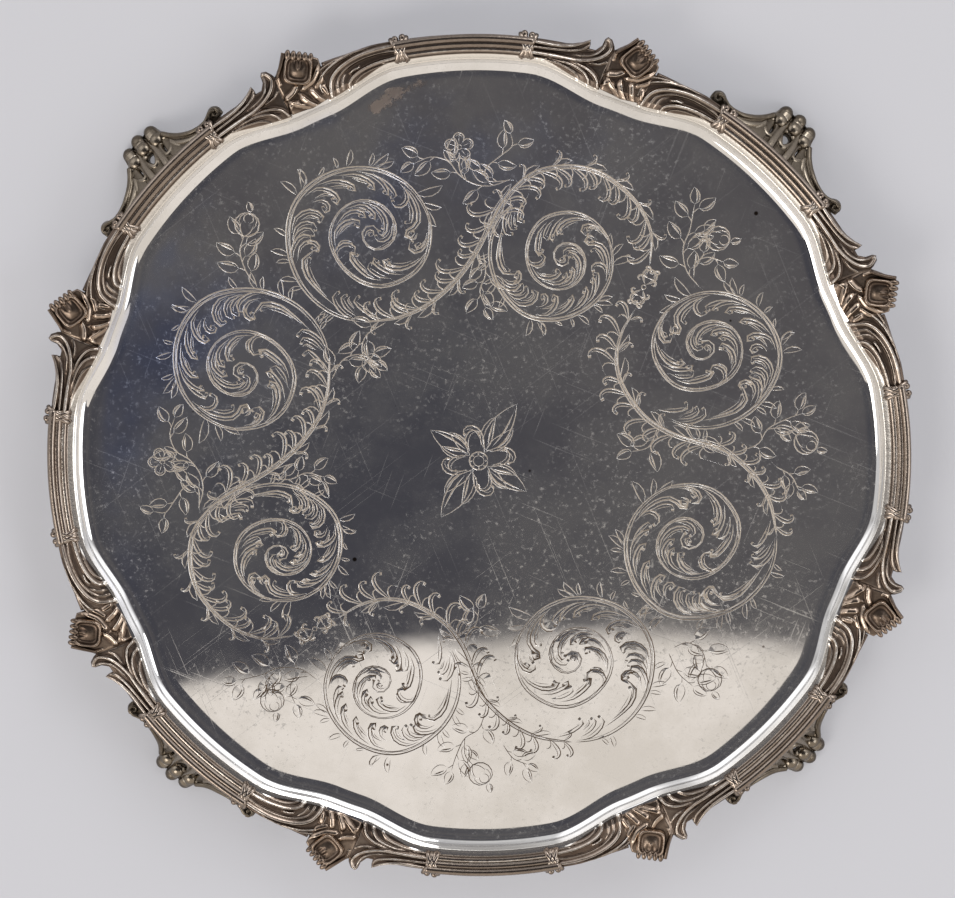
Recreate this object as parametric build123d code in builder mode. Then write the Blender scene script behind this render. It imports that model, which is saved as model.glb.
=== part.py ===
"""Round silver salver on four cast feet: a dished sheet, an eight-part cast border and eight shell mounts.

The salver lies on its feet, +Z up, with its centre on the Z axis and the feet on Z = 0. Sizes are in
millimetres. The border repeats eight times round the salver, so its outlines are written once, for the
repeat that is centred on the +X axis, as (angle, radius) points.
"""

from build123d import *
import os
from math import cos, pi, radians, sin

# Driving dimensions
REPEATS = 8                # border sections round the salver, and shells between them
FEET = 4                   # one under every second border section
PITCH = 360 / REPEATS
SHELL_ANGLE = 22.1         # from the middle of a border section to the shell that follows it
SHEET = 1.3                # gauge of the raised sheet
FLAT_TOP = 15.0            # upper face of the flat middle
RIM_TOP = 20.4             # upper face of the sheet's narrow rim, where the border is soldered
FLAT_RADIUS = 161.2        # edge of the flat, at the middle of a border section
FLAT_DIP = 6.4             # how far that edge turns inwards at a shell
BOUGE_WIDTH = 5.2          # plan width of the hollow wall between the flat and the border
RIM_RADIUS = 174.6         # edge of the sheet, under the border
REED_TOP = 22.6            # crest of the border's reeds
REED_RADIUS = 1.0
REEDS = (175.1, 172.8, 170.5)   # radii at which the three reeds run round
REED_ARC = 9.0             # the reeds run this far each side, under the ties
LEAF_TOP = 21.6            # face of the border's leaf work, beside the reeds
TIE_ANGLE = 8.5            # ribbon ties stand this far each side of a section's middle
TIE_RADIUS = 1.45
TIE_LENGTH = 9.2
SHELL_TOP = 24.0           # rim of a shell's cup, the highest point of the salver
SHELL_SIDE = 9.8           # side of the shell's square cup
SHELL_TURN = -30.0         # turn of the cup from the radial direction
CUP_WALL = 1.3
CUP_FLOOR = 22.0
FOOT_REACH = 189.3         # radius at which the toes stand
TOE_RADIUS = 3.4
TOE_SPREAD = 6.3           # between one toe and the next
SIDE_TOE_BACK = 1.2        # the outer toes stand this much further in
SOLE_WIDTH = 5.0           # flat pad that joins the toes
SOLE_HEIGHT = 2.0
PIERCING_RADIUS = 180.6    # where the three pierced drops stand
PIERCING_OFFSETS = (-6.4, 0, 6.4)
PIERCING_HALF = (2.7, 1.0) # half length and half width of a drop
BRACKET_DEPTH = 3.4
BOSS_RADIUS = 1.7          # the little ball in a shell's cup
CUP_CORNER = 1.6
SKIRT_RADIUS = 175.6       # middle of the skirt that hides the edge of the sheet
SKIRT_WIDTH = 1.5
RIDGE_RADIUS = 0.8
TIE_LEAN = 24              # the two strands of a tie lean this much each way
TIE_MIDDLE = 173.2
RIM_BOTTOM = RIM_TOP - SHEET

os.makedirs("parts", exist_ok=True)

# Outlines as (angle, radius) points, for the repeat on the +X axis
OUTER_EDGE = [(19.4, 174.9), (16.0, 176.3), (12.0, 177.1), (TIE_ANGLE, 176.8), (0, 176.3),
              (-TIE_ANGLE, 176.3), (-12.5, 175.8), (-15.0, 177.0), (-16.4, 179.8)]
CURL_EDGE = [(-16.5, 175.2), (-17.4, 176.4), (-18.0, 178.8), (-18.2, 182.1), (-18.7, 182.7),
             (-19.3, 181.0), (-19.8, 177.9)]
SHELL_BASE = [(19.6, 161.6), (22.3, 160.7), (25.6, 161.8), (25.4, 170.0), (25.0, 177.6),
              (22.8, 184.6)]
TEETH = 5                  # scallops along the shell's outer edge
SHELL_CORNER = (19.2, 178.6)
RIDGES = {
    "outer_fold": [(9.4, 175.0), (14.0, 174.6), (17.5, 171.6), (19.0, 166.5), (19.3, 162.2)],
    "inner_fold": [(9.4, 170.4), (12.5, 169.7), (15.5, 167.3), (16.5, 163.6)],
    "curl_rib": [(-9.4, 170.5), (-14.0, 170.6), (-17.0, 172.1), (-18.9, 175.8), (-19.2, 179.6)],
    "leaf_rib": [(-15.2, 169.3), (-17.5, 167.8), (-18.8, 165.0), (-19.1, 162.4)],
}


def at(angle, radius):
    """The point at a polar angle in degrees and a radius."""
    return (radius * cos(radians(angle)), radius * sin(radians(angle)))


def dip(angle):
    """How far the lobed outlines have turned inwards, from 0 at a section's middle to 1 at a shell."""
    off_middle = abs((angle + PITCH / 2) % PITCH - PITCH / 2)
    share = min(max((off_middle - 9.0) / 11.5, 0.0), 1.0)
    return share * share * (3 - 2 * share)


def lobed(grow):
    """Points of the flat's eight-lobed outline, grown outwards by a distance."""
    step = PITCH / 10
    rows = [index * step for index in range(REPEATS * 10)]
    return [at(angle, FLAT_RADIUS + grow - FLAT_DIP * dip(angle)) for angle in rows]


def cove(width, rise, bottom, stages=4):
    """(growth, height) pairs up the bouge: a quarter ellipse that leaves the flat level."""
    turns = [index * pi / 2 / stages for index in range(stages + 1)]
    return [(width * sin(turn), bottom + rise * (1 - cos(turn))) for turn in turns]


# The sheet: flat middle, bouge and narrow rim, one piece of raised silver
inner_cove = cove(BOUGE_WIDTH, RIM_TOP - FLAT_TOP, FLAT_TOP)
outer_cove = cove(BOUGE_WIDTH + SHEET, RIM_TOP - FLAT_TOP, FLAT_TOP - SHEET)

with BuildPart() as salver_plate:
    for growth, height in outer_cove:
        with BuildSketch(Plane.XY.offset(height)):
            with BuildLine():
                Spline(lobed(growth), periodic=True)
            make_face()
    loft()
    with BuildSketch(Plane.XY.offset(RIM_BOTTOM)):
        Circle(RIM_RADIUS)
    extrude(amount=SHEET)
    for growth, height in inner_cove:
        with BuildSketch(Plane.XY.offset(height)):
            with BuildLine():
                Spline(lobed(growth), periodic=True)
            make_face()
    loft(mode=Mode.SUBTRACT)

# A shell mount: leafy base, square cup turned on its corner, and a scalloped outer edge
cup_centre = at(SHELL_ANGLE, 177.2)
cup_plane = Plane(origin=(cup_centre[0], cup_centre[1], LEAF_TOP), z_dir=(0, 0, 1))
cup_turn = SHELL_ANGLE + SHELL_TURN
cup_inside = SHELL_SIDE - 2 * CUP_WALL
base_points = [at(*point) for point in SHELL_BASE]
edge_start = Vector(*base_points[-1])
edge_end = Vector(*at(*SHELL_CORNER))
scallops = [edge_start + (edge_end - edge_start) * index / TEETH for index in range(TEETH + 1)]

with BuildPart() as shell:
    with BuildSketch(Plane.XY.offset(RIM_TOP)):
        with BuildLine():
            Spline(base_points[:3])
            Polyline(base_points[2:])
            for left, right in zip(scallops[:-1], scallops[1:]):
                RadiusArc(left, right, -(right - left).length * 0.55)
            Polyline([edge_end, base_points[0]])
        make_face()
    extrude(amount=LEAF_TOP - RIM_TOP)
    with BuildSketch(cup_plane):
        with Locations(Rotation(0, 0, cup_turn)):
            RectangleRounded(SHELL_SIDE, SHELL_SIDE, CUP_CORNER)
    extrude(amount=SHELL_TOP - LEAF_TOP)
    with BuildSketch(cup_plane.offset(CUP_FLOOR - LEAF_TOP)):
        with Locations(Rotation(0, 0, cup_turn)):
            RectangleRounded(cup_inside, cup_inside, CUP_CORNER - 0.4)
    extrude(amount=SHELL_TOP - CUP_FLOOR, mode=Mode.SUBTRACT)
    with Locations((cup_centre[0], cup_centre[1], CUP_FLOOR)):
        Sphere(BOSS_RADIUS)

# A border section: reeds between two ties, folds towards one shell and a curled leaf towards the other
inner_line = [at(angle, FLAT_RADIUS + BOUGE_WIDTH - FLAT_DIP * dip(angle))
              for angle in (-19.4, -17, -14, -11, -8, 0, 8, 11, 14, 17, 19.4)]

with BuildPart() as border_section:
    with BuildSketch(Plane.XY.offset(RIM_TOP)):
        with BuildLine():
            Spline([at(*point) for point in OUTER_EDGE])
            Polyline([at(*OUTER_EDGE[-1]), at(*CURL_EDGE[0])])
            Spline([at(*point) for point in CURL_EDGE])
            Polyline([at(*CURL_EDGE[-1]), inner_line[0]])
            Spline(inner_line)
            Polyline([inner_line[-1], at(*OUTER_EDGE[0])])
        make_face()
    extrude(amount=LEAF_TOP - RIM_TOP)
    # The reeds, with the skirt that hides the edge of the sheet
    start = radians(-REED_ARC)
    with BuildSketch(Plane(origin=(0, 0, 0), x_dir=(cos(start), sin(start), 0),
                           z_dir=(sin(start), -cos(start), 0))):
        with Locations((SKIRT_RADIUS, (RIM_BOTTOM + LEAF_TOP) / 2)):
            Rectangle(SKIRT_WIDTH, LEAF_TOP - RIM_BOTTOM)
        with Locations([(radius, REED_TOP - REED_RADIUS) for radius in REEDS]):
            Circle(REED_RADIUS)
    revolve(axis=Axis.Z, revolution_arc=2 * REED_ARC)
    for points in RIDGES.values():
        with BuildLine(Plane.XY.offset(LEAF_TOP)) as ridge:
            Spline([at(*point) for point in points])
        with BuildSketch(Plane(origin=ridge.line @ 0, z_dir=ridge.line % 0)):
            Circle(RIDGE_RADIUS)
        sweep(path=ridge.line)
    # Each tie is two strands of ribbon that cross over the reeds
    for side in (-1, 1):
        knot = at(side * TIE_ANGLE, TIE_MIDDLE)
        for lean in (-TIE_LEAN, TIE_LEAN):
            heading = radians(side * TIE_ANGLE + lean)
            strand = Plane(origin=(knot[0], knot[1], RIM_TOP + TIE_RADIUS),
                           z_dir=(cos(heading), sin(heading), 0))
            with BuildSketch(strand):
                Circle(TIE_RADIUS)
            extrude(amount=TIE_LENGTH / 2, both=True)
    add(shell.part, mode=Mode.SUBTRACT)
    add(shell.part.rotate(Axis.Z, -PITCH), mode=Mode.SUBTRACT)

# A foot: a splayed shell-shaped leg on three toes, with a scroll bracket each side under the border
SIDE_OUTER = [(RIM_RADIUS, RIM_BOTTOM), (179.0, 15.2), (184.5, 9.0), (FOOT_REACH + 2.0, 5.0)]
SIDE_INNER = [(FOOT_REACH - 2.0, 1.2), (181.6, 6.0), (175.4, 13.2), (170.6, RIM_BOTTOM)]
LEG_EDGE = [(168.0, 15.5), (178.0, 13.2), (184.0, 10.6), (192.0, 9.2)]
BRACKET_EDGE = [(174.3, 34.0), (177.8, 31.0), (177.6, 24.0), (179.0, 17.0), (183.5, 11.0)]

with BuildPart() as foot:
    with BuildSketch(Plane.XZ):
        with BuildLine():
            Spline(SIDE_OUTER)
            Polyline([SIDE_OUTER[-1], SIDE_INNER[0]])
            Spline(SIDE_INNER)
            Polyline([SIDE_INNER[-1], SIDE_OUTER[0]])
        make_face()
    extrude(amount=20, both=True)
    with BuildSketch():
        with BuildLine():
            Spline(LEG_EDGE)
            Polyline([LEG_EDGE[-1], (LEG_EDGE[-1][0], -LEG_EDGE[-1][1])])
            Spline([(x, -y) for x, y in reversed(LEG_EDGE)])
            Polyline([(LEG_EDGE[0][0], -LEG_EDGE[0][1]), LEG_EDGE[0]])
        make_face()
    extrude(amount=RIM_BOTTOM, mode=Mode.INTERSECT)
    for side in (-1, 1):
        with BuildSketch(Plane.XY.offset(RIM_BOTTOM)):
            with BuildLine():
                Spline([(x, side * y) for x, y in BRACKET_EDGE])
                Polyline([(183.5, side * 11.0), (174.6, side * 11.0), (172.4, side * 24.0),
                          (174.3, side * 34.0)])
            make_face()
        extrude(amount=-BRACKET_DEPTH)
    # Three pierced drops between the veins of the leg
    for offset in PIERCING_OFFSETS:
        with BuildSketch():
            with Locations((PIERCING_RADIUS, offset)):
                Ellipse(*PIERCING_HALF)
        extrude(amount=RIM_BOTTOM, mode=Mode.SUBTRACT)
    for offset in (-TOE_SPREAD, 0, TOE_SPREAD):
        reach = FOOT_REACH - (SIDE_TOE_BACK if offset else 0)
        with Locations((reach, offset, TOE_RADIUS - 0.5)):
            Sphere(TOE_RADIUS)
    with BuildSketch():
        with Locations((FOOT_REACH - 1.4, 0)):
            SlotOverall(2 * TOE_SPREAD + SOLE_WIDTH, SOLE_WIDTH)
    extrude(amount=SOLE_HEIGHT)
    # The toes are filed flat where they stand
    split(bisect_by=Plane.XY, keep=Keep.TOP)

# Each piece is written in its place
salver_plate.part.label = "salver_plate"
export_step(salver_plate.part, "parts/salver_plate.step")
for kind, made, count, first in (("border_section", border_section, REPEATS, 0),
                                 ("shell", shell, REPEATS, 0),
                                 ("foot", foot, FEET, PITCH)):
    for index in range(count):
        piece = made.part.rotate(Axis.Z, first + index * 360 / count)
        piece.label = f"{kind}_{index + 1}"
        export_step(piece, f"parts/{piece.label}.step")
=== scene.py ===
"""Looks of a footed silver salver: engraved sheet, cast border, shell mounts and cast feet.

Shapes are worked out in millimetres and scaled to metres as each mesh is made. The border repeats
eight times; its drawing is kept once, as (angle, radius) points on the repeat whose middle is on +X.
"""

import logging
import math
from collections.abc import Callable, Iterable
from dataclasses import dataclass, field, replace
from enum import Enum

import bpy
import numpy as np
from mathutils import Matrix, Vector
from mathutils.geometry import delaunay_2d_cdt


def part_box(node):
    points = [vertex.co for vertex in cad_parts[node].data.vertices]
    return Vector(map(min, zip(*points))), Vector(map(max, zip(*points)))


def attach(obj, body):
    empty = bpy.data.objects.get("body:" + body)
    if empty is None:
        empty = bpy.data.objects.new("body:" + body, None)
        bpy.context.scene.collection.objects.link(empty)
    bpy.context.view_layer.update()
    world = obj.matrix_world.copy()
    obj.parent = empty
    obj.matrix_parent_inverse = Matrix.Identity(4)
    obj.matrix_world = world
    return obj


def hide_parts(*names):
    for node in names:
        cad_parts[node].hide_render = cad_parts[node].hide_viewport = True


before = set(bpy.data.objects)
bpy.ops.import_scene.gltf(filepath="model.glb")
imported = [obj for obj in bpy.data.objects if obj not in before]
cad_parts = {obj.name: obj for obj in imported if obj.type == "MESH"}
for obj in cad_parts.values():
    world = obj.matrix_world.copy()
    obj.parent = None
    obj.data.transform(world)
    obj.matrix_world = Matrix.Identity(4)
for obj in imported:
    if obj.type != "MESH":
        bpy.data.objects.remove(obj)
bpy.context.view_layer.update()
LOG = logging.getLogger("salver")

MM = 0.001
REPEATS = 8
FEET = 4
PITCH = 360.0 / REPEATS
STRIP_RADIUS = 170.0        # radius at which a distance along the border is true
TINY = 1e-12                # keeps a division from failing
ROOT = "root"

Points = np.ndarray
Shell = tuple[Points, list[Points]]     # vertices, and faces gathered by their number of corners
Colour = tuple[float, float, float, float]


class Slot(Enum):
    """Material slots of the record."""

    SHEET = "polished_sheet"
    BORDER = "cast_border"
    SHELL = "cast_shell"
    FOOT = "cast_foot"


class Bloom(Enum):
    """What a spray of flowers ends in."""

    NONE = "none"
    ROSETTE = "rosette"
    BUD = "bud"


# ---------------------------------------------------------------- plan of the salver

def smooth(low: float, high: float, value: Points) -> Points:
    """Smooth step from 0 at low to 1 at high."""
    share = np.clip((value - low) / (high - low), 0.0, 1.0)
    return share * share * (3 - 2 * share)


@dataclass(frozen=True)
class Plan:
    """Driving sizes of the salver, in millimetres. The frame gives those that are properties."""

    flat_radius: float = 161.2
    flat_dip: float = 6.4
    bouge_width: float = 5.2
    sheet: float = 1.3
    flat_drop: float = 5.4
    straight: float = 9.0       # degrees each side of a section's middle in which the outline is round
    turn_in: float = 11.5       # degrees in which it then turns inwards

    @property
    def rim_top(self) -> float:
        """Height of the sheet's rim, under the border."""
        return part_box("salver_plate")[1].z / MM

    @property
    def rim_radius(self) -> float:
        """Radius of the sheet's edge."""
        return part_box("salver_plate")[1].x / MM

    @property
    def flat_top(self) -> float:
        """Height of the engraved face."""
        return self.rim_top - self.flat_drop

    def dip(self, degrees: Points) -> Points:
        """Share of the way inwards that the lobed outline has turned at an angle."""
        off_middle = np.abs((degrees + PITCH / 2) % PITCH - PITCH / 2)
        return smooth(self.straight, self.straight + self.turn_in, off_middle)

    def lobed(self, grow: float, degrees: Points) -> Points:
        """Radius of the flat's outline, grown outwards, at an angle."""
        return self.flat_radius + grow - self.flat_dip * self.dip(degrees)


PLAN = Plan()


def run_length(line: Points) -> Points:
    """Distance along a line at each of its points."""
    return np.concatenate([[0], np.cumsum(np.linalg.norm(np.diff(line, axis=0), axis=1))])


def normals(line: Points) -> Points:
    """Unit normals on the left of a plane line.

    Args:
        line: The line's points.

    Returns:
        One normal for each point.
    """
    along = np.gradient(line, axis=0)
    across = np.stack([-along[:, 1], along[:, 0]], 1)
    return across / np.maximum(np.linalg.norm(across, axis=1)[:, None], TINY)


def to_segments(plan: Points, line: Points) -> tuple[Points, Points]:
    """How plan points lie from every segment of a line.

    Args:
        plan: The points.
        line: The line's points.

    Returns:
        A row for each point with its distances from the segments, and one with the shares of the
        segments' lengths at which it is nearest.
    """
    span = np.diff(line, axis=0)
    offset = plan[:, None, :] - line[:-1]
    share = np.clip((offset * span).sum(2) / np.maximum((span ** 2).sum(1), TINY), 0, 1)
    return np.linalg.norm(offset - share[..., None] * span, axis=2), share


def towards(angle: float) -> Points:
    """Plane unit vector at an angle in radians."""
    return np.array([math.cos(angle), math.sin(angle)])


def on_circle(angles: Points) -> Points:
    """Points of the unit circle at angles in radians."""
    return np.stack([np.cos(angles), np.sin(angles)], 1)


def turner(angle: float) -> Points:
    """Matrix that turns rows of points about Z by an angle in radians."""
    cosine, sine = towards(angle)
    return np.array([[cosine, sine, 0], [-sine, cosine, 0], [0, 0, 1]])


def through(points: Iterable[tuple[float, ...]], count: int) -> Points:
    """A smooth line through given points.

    Args:
        points: The points, in two or three dimensions.
        count: How many points the line gets, evenly spaced along it.

    Returns:
        The line's points.
    """
    knots = np.asarray(list(points), float)
    padded = np.vstack([2 * knots[0] - knots[1], knots, 2 * knots[-1] - knots[-2]])
    line = []
    for index in range(1, len(padded) - 2):
        before, start, end, after = padded[index - 1:index + 3]
        t = np.linspace(0, 1, 24, endpoint=False)[:, None]
        line.append(0.5 * (2 * start + (end - before) * t
                           + (2 * before - 5 * start + 4 * end - after) * t ** 2
                           + (3 * start - before - 3 * end + after) * t ** 3))
    dense = np.vstack(line + [knots[-1:]])
    along = run_length(dense)
    places = np.linspace(0, along[-1], count)
    return np.stack([np.interp(places, along, part) for part in dense.T], 1)


# ---------------------------------------------------------------- meshes

def volume(points: Points, faces: list[Points]) -> float:
    """Signed volume of a closed shell, times six.

    Args:
        points: Its vertices.
        faces: Arrays of faces.

    Returns:
        Six times the volume, positive where the faces point outwards.
    """
    total = 0.0
    for group in faces:
        for corner in range(1, group.shape[1] - 1):
            a, b, c = points[group[:, 0]], points[group[:, corner]], points[group[:, corner + 1]]
            total += float((a * np.cross(b, c)).sum())
    return total


def outward(points: Points, faces: list[Points]) -> list[Points]:
    """The faces of a closed shell, turned so that they point outwards."""
    return list(faces) if volume(points, faces) >= 0 else [group[:, ::-1] for group in faces]


@dataclass
class Casting:
    """Closed shells gathered into one mesh, with a wear value from 0 in a hollow to 1 on a crest."""

    name: str
    points: list[Points] = field(default_factory=list)
    wear: list[Points] = field(default_factory=list)
    faces: list[Points] = field(default_factory=list)
    smooth: list[Points] = field(default_factory=list)
    count: int = 0

    def add(self, points: Points, faces: Iterable[Points], wear: Points | float, smooth_faces: bool = True) -> None:
        """Adds one closed shell, with its faces turned outwards.

        Args:
            points: Its vertices, in millimetres.
            faces: Arrays of faces, each with its own number of corners.
            wear: One value, or one for each vertex.
            smooth_faces: Whether the shell is shaded smooth.
        """
        self.points.append(np.asarray(points, float))
        self.wear.append(np.broadcast_to(np.asarray(wear, float), (len(points),)))
        for group in outward(points, faces):
            if len(group):
                self.faces.append(group + self.count)
                self.smooth.append(np.full(len(group), smooth_faces))
        self.count += len(points)

    def turned(self, name: str, degrees: float) -> "Casting":
        """A copy turned about the salver's axis."""
        matrix = turner(math.radians(degrees))
        return Casting(name, [part @ matrix for part in self.points], self.wear, self.faces, self.smooth, self.count)

    def build(self, material: bpy.types.Material, slot: Slot) -> bpy.types.Object:
        """Makes the object, dressed and riding on the frame.

        Args:
            material: Its finish.
            slot: Its material slot; not used.

        Returns:
            The object.
        """
        mesh = bpy.data.meshes.new(self.name)
        points = np.vstack(self.points) * MM
        mesh.vertices.add(len(points))
        mesh.vertices.foreach_set("co", points.astype(np.float32).ravel())
        corners = np.concatenate([group.ravel() for group in self.faces]).astype(np.int32)
        sizes = np.concatenate([np.full(len(group), group.shape[1]) for group in self.faces])
        starts = np.concatenate([[0], np.cumsum(sizes)[:-1]]).astype(np.int32)
        mesh.loops.add(len(corners))
        mesh.loops.foreach_set("vertex_index", corners)
        mesh.polygons.add(len(sizes))
        mesh.polygons.foreach_set("loop_start", starts)
        mesh.polygons.foreach_set("use_smooth", np.concatenate(self.smooth))
        mesh.update(calc_edges=True)
        mesh.validate()
        layer = mesh.attributes.new("wear", "FLOAT", "POINT")
        layer.data.foreach_set("value", np.concatenate(self.wear).astype(np.float32))
        piece = bpy.data.objects.new(self.name, mesh)
        bpy.context.scene.collection.objects.link(piece)
        mesh.materials.append(material)
        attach(piece, ROOT)
        return piece


def rim_edges(faces: Iterable[Points]) -> Points:
    """Directed edges that only one face has.

    Args:
        faces: Arrays of faces.

    Returns:
        One row of two vertices for each edge.
    """
    edges = np.vstack([np.stack([group, np.roll(group, -1, axis=1)], 2).reshape(-1, 2)
                       for group in faces if len(group)])
    top = int(edges.max()) + 1
    there = edges[:, 0] * top + edges[:, 1]
    back = edges[:, 1] * top + edges[:, 0]
    return edges[~np.isin(there, back)]


def wrapped(rings: int, around: int, first: int, last: int) -> list[Points]:
    """Faces over rings of vertices that follow one another, with a fan at each end.

    Args:
        rings: How many rings there are.
        around: Vertices in a ring.
        first: Number of the vertex in the middle of the first ring.
        last: Number of the vertex in the middle of the last ring.

    Returns:
        The quads and the two fans.
    """
    row = np.arange(around)
    after = np.roll(row, -1)
    end = (rings - 1) * around
    quads = [np.stack([low + row, low + after, low + around + after, low + around + row], 1)
             for low in range(0, end, around)]
    return [np.vstack(quads), np.stack([np.full(around, first), after, row], 1),
            np.stack([np.full(around, last), end + row, end + after], 1)]


def sweep(path: Points, width: Points | float, height: Points | float, sides: int = 12) -> Shell:
    """A closed tapering rib along a line, with an oval section.

    Args:
        path: The middle of the rib.
        width: Half widths across the line, one or one for each point.
        height: Half heights.
        sides: Points round the section.

    Returns:
        The rib's vertices and faces.
    """
    count = len(path)
    width = np.broadcast_to(np.asarray(width, float), (count,))
    height = np.broadcast_to(np.asarray(height, float), (count,))
    along = np.gradient(path, axis=0)
    along /= np.linalg.norm(along, axis=1)[:, None]
    side = np.cross(along, [0.0, 0.0, 1.0])
    side /= np.maximum(np.linalg.norm(side, axis=1)[:, None], TINY)
    up = np.cross(side, along)
    turn = np.linspace(0, 2 * math.pi, sides, endpoint=False)
    ring = (path[:, None, :] + side[:, None, :] * (width[:, None] * np.cos(turn))[..., None]
            + up[:, None, :] * (height[:, None] * np.sin(turn))[..., None])
    points = np.vstack([ring.reshape(-1, 3), path[:1], path[-1:]])
    return points, wrapped(count, sides, count * sides, count * sides + 1)


def ball(centre: Points, radii: tuple[float, float, float], rows: int = 10, columns: int = 16,
         axes: Points | None = None) -> Shell:
    """A closed ovoid with its poles on its third axis.

    Args:
        centre: Its middle.
        radii: Its half sizes.
        rows: Rings from pole to pole.
        columns: Vertices in a ring.
        axes: Directions of its half sizes, as rows.

    Returns:
        Its vertices and faces.
    """
    axes = np.eye(3) if axes is None else axes
    polar = np.linspace(0, math.pi, rows + 1)[1:-1]
    turn = np.linspace(0, 2 * math.pi, columns, endpoint=False)
    grid = np.stack(np.broadcast_arrays(np.sin(polar)[:, None] * np.cos(turn),
                                        np.sin(polar)[:, None] * np.sin(turn),
                                        np.cos(polar)[:, None] * np.ones(columns)), -1).reshape(-1, 3)
    unit = np.vstack([grid, [[0, 0, 1]], [[0, 0, -1]]])
    points = centre + (unit * radii) @ axes
    return points, wrapped(rows - 1, columns, len(grid), len(grid) + 1)


# ---------------------------------------------------------------- engraving

@dataclass
class Cut:
    """One stroke of the graver: a line and its half widths."""

    line: Points
    half: Points


def tendril(start: Points, heading: float, length: float, turn: float, power: float = 1.7,
            count: int = 11) -> Points:
    """A line that leaves a point and bends more and more.

    Args:
        start: Where it begins.
        heading: Its first direction, in radians.
        length: Its length.
        turn: How far it turns by its end, in radians, positive to the left.
        power: How late the turning comes.
        count: How many points it gets.

    Returns:
        Its points.
    """
    share = np.linspace(0, 1, count)
    angles = heading + turn * share ** power
    steps = on_circle(angles) * (length / (count - 1))
    return np.vstack([[start], start + np.cumsum(0.5 * (steps[1:] + steps[:-1]), axis=0)])


def bend_radius(line: Points) -> Points:
    """Radius of the bend at each point of a line.

    Args:
        line: The line's points.

    Returns:
        One radius for each point.
    """
    steps = np.diff(line, axis=0)
    lengths = np.linalg.norm(steps, axis=1)
    turns = np.abs(np.diff(np.unwrap(np.arctan2(steps[:, 1], steps[:, 0]))))
    inner = 0.5 * (lengths[1:] + lengths[:-1]) / np.maximum(turns, 1e-3)
    return np.concatenate([inner[:1], inner, inner[-1:]])


@dataclass(frozen=True)
class Scroll:
    """Where a scroll stands: its centre, its size against the drawing, the angle in degrees at which its
    stem starts, and its hand, 1 for anticlockwise."""

    centre: tuple[float, float]
    size: float
    start: float
    hand: int

    MIDDLE = (-41.0, 93.5)      # the drawing's own centre
    FIRST = -97.0               # and the angle at which its stem starts

    def place(self, points: Iterable[tuple[float, float]]) -> Points:
        """Moves points of the drawing, which turns clockwise, to this scroll.

        Args:
            points: Points of the drawing.

        Returns:
            The points in the salver's plan.
        """
        offset = (np.asarray(list(points), float) - self.MIDDLE) * self.size
        first = self.FIRST
        if self.hand > 0:
            offset = offset * [1, -1]
            first = -first
        return offset @ turner(math.radians(self.start - first))[:2, :2] + self.centre


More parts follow.
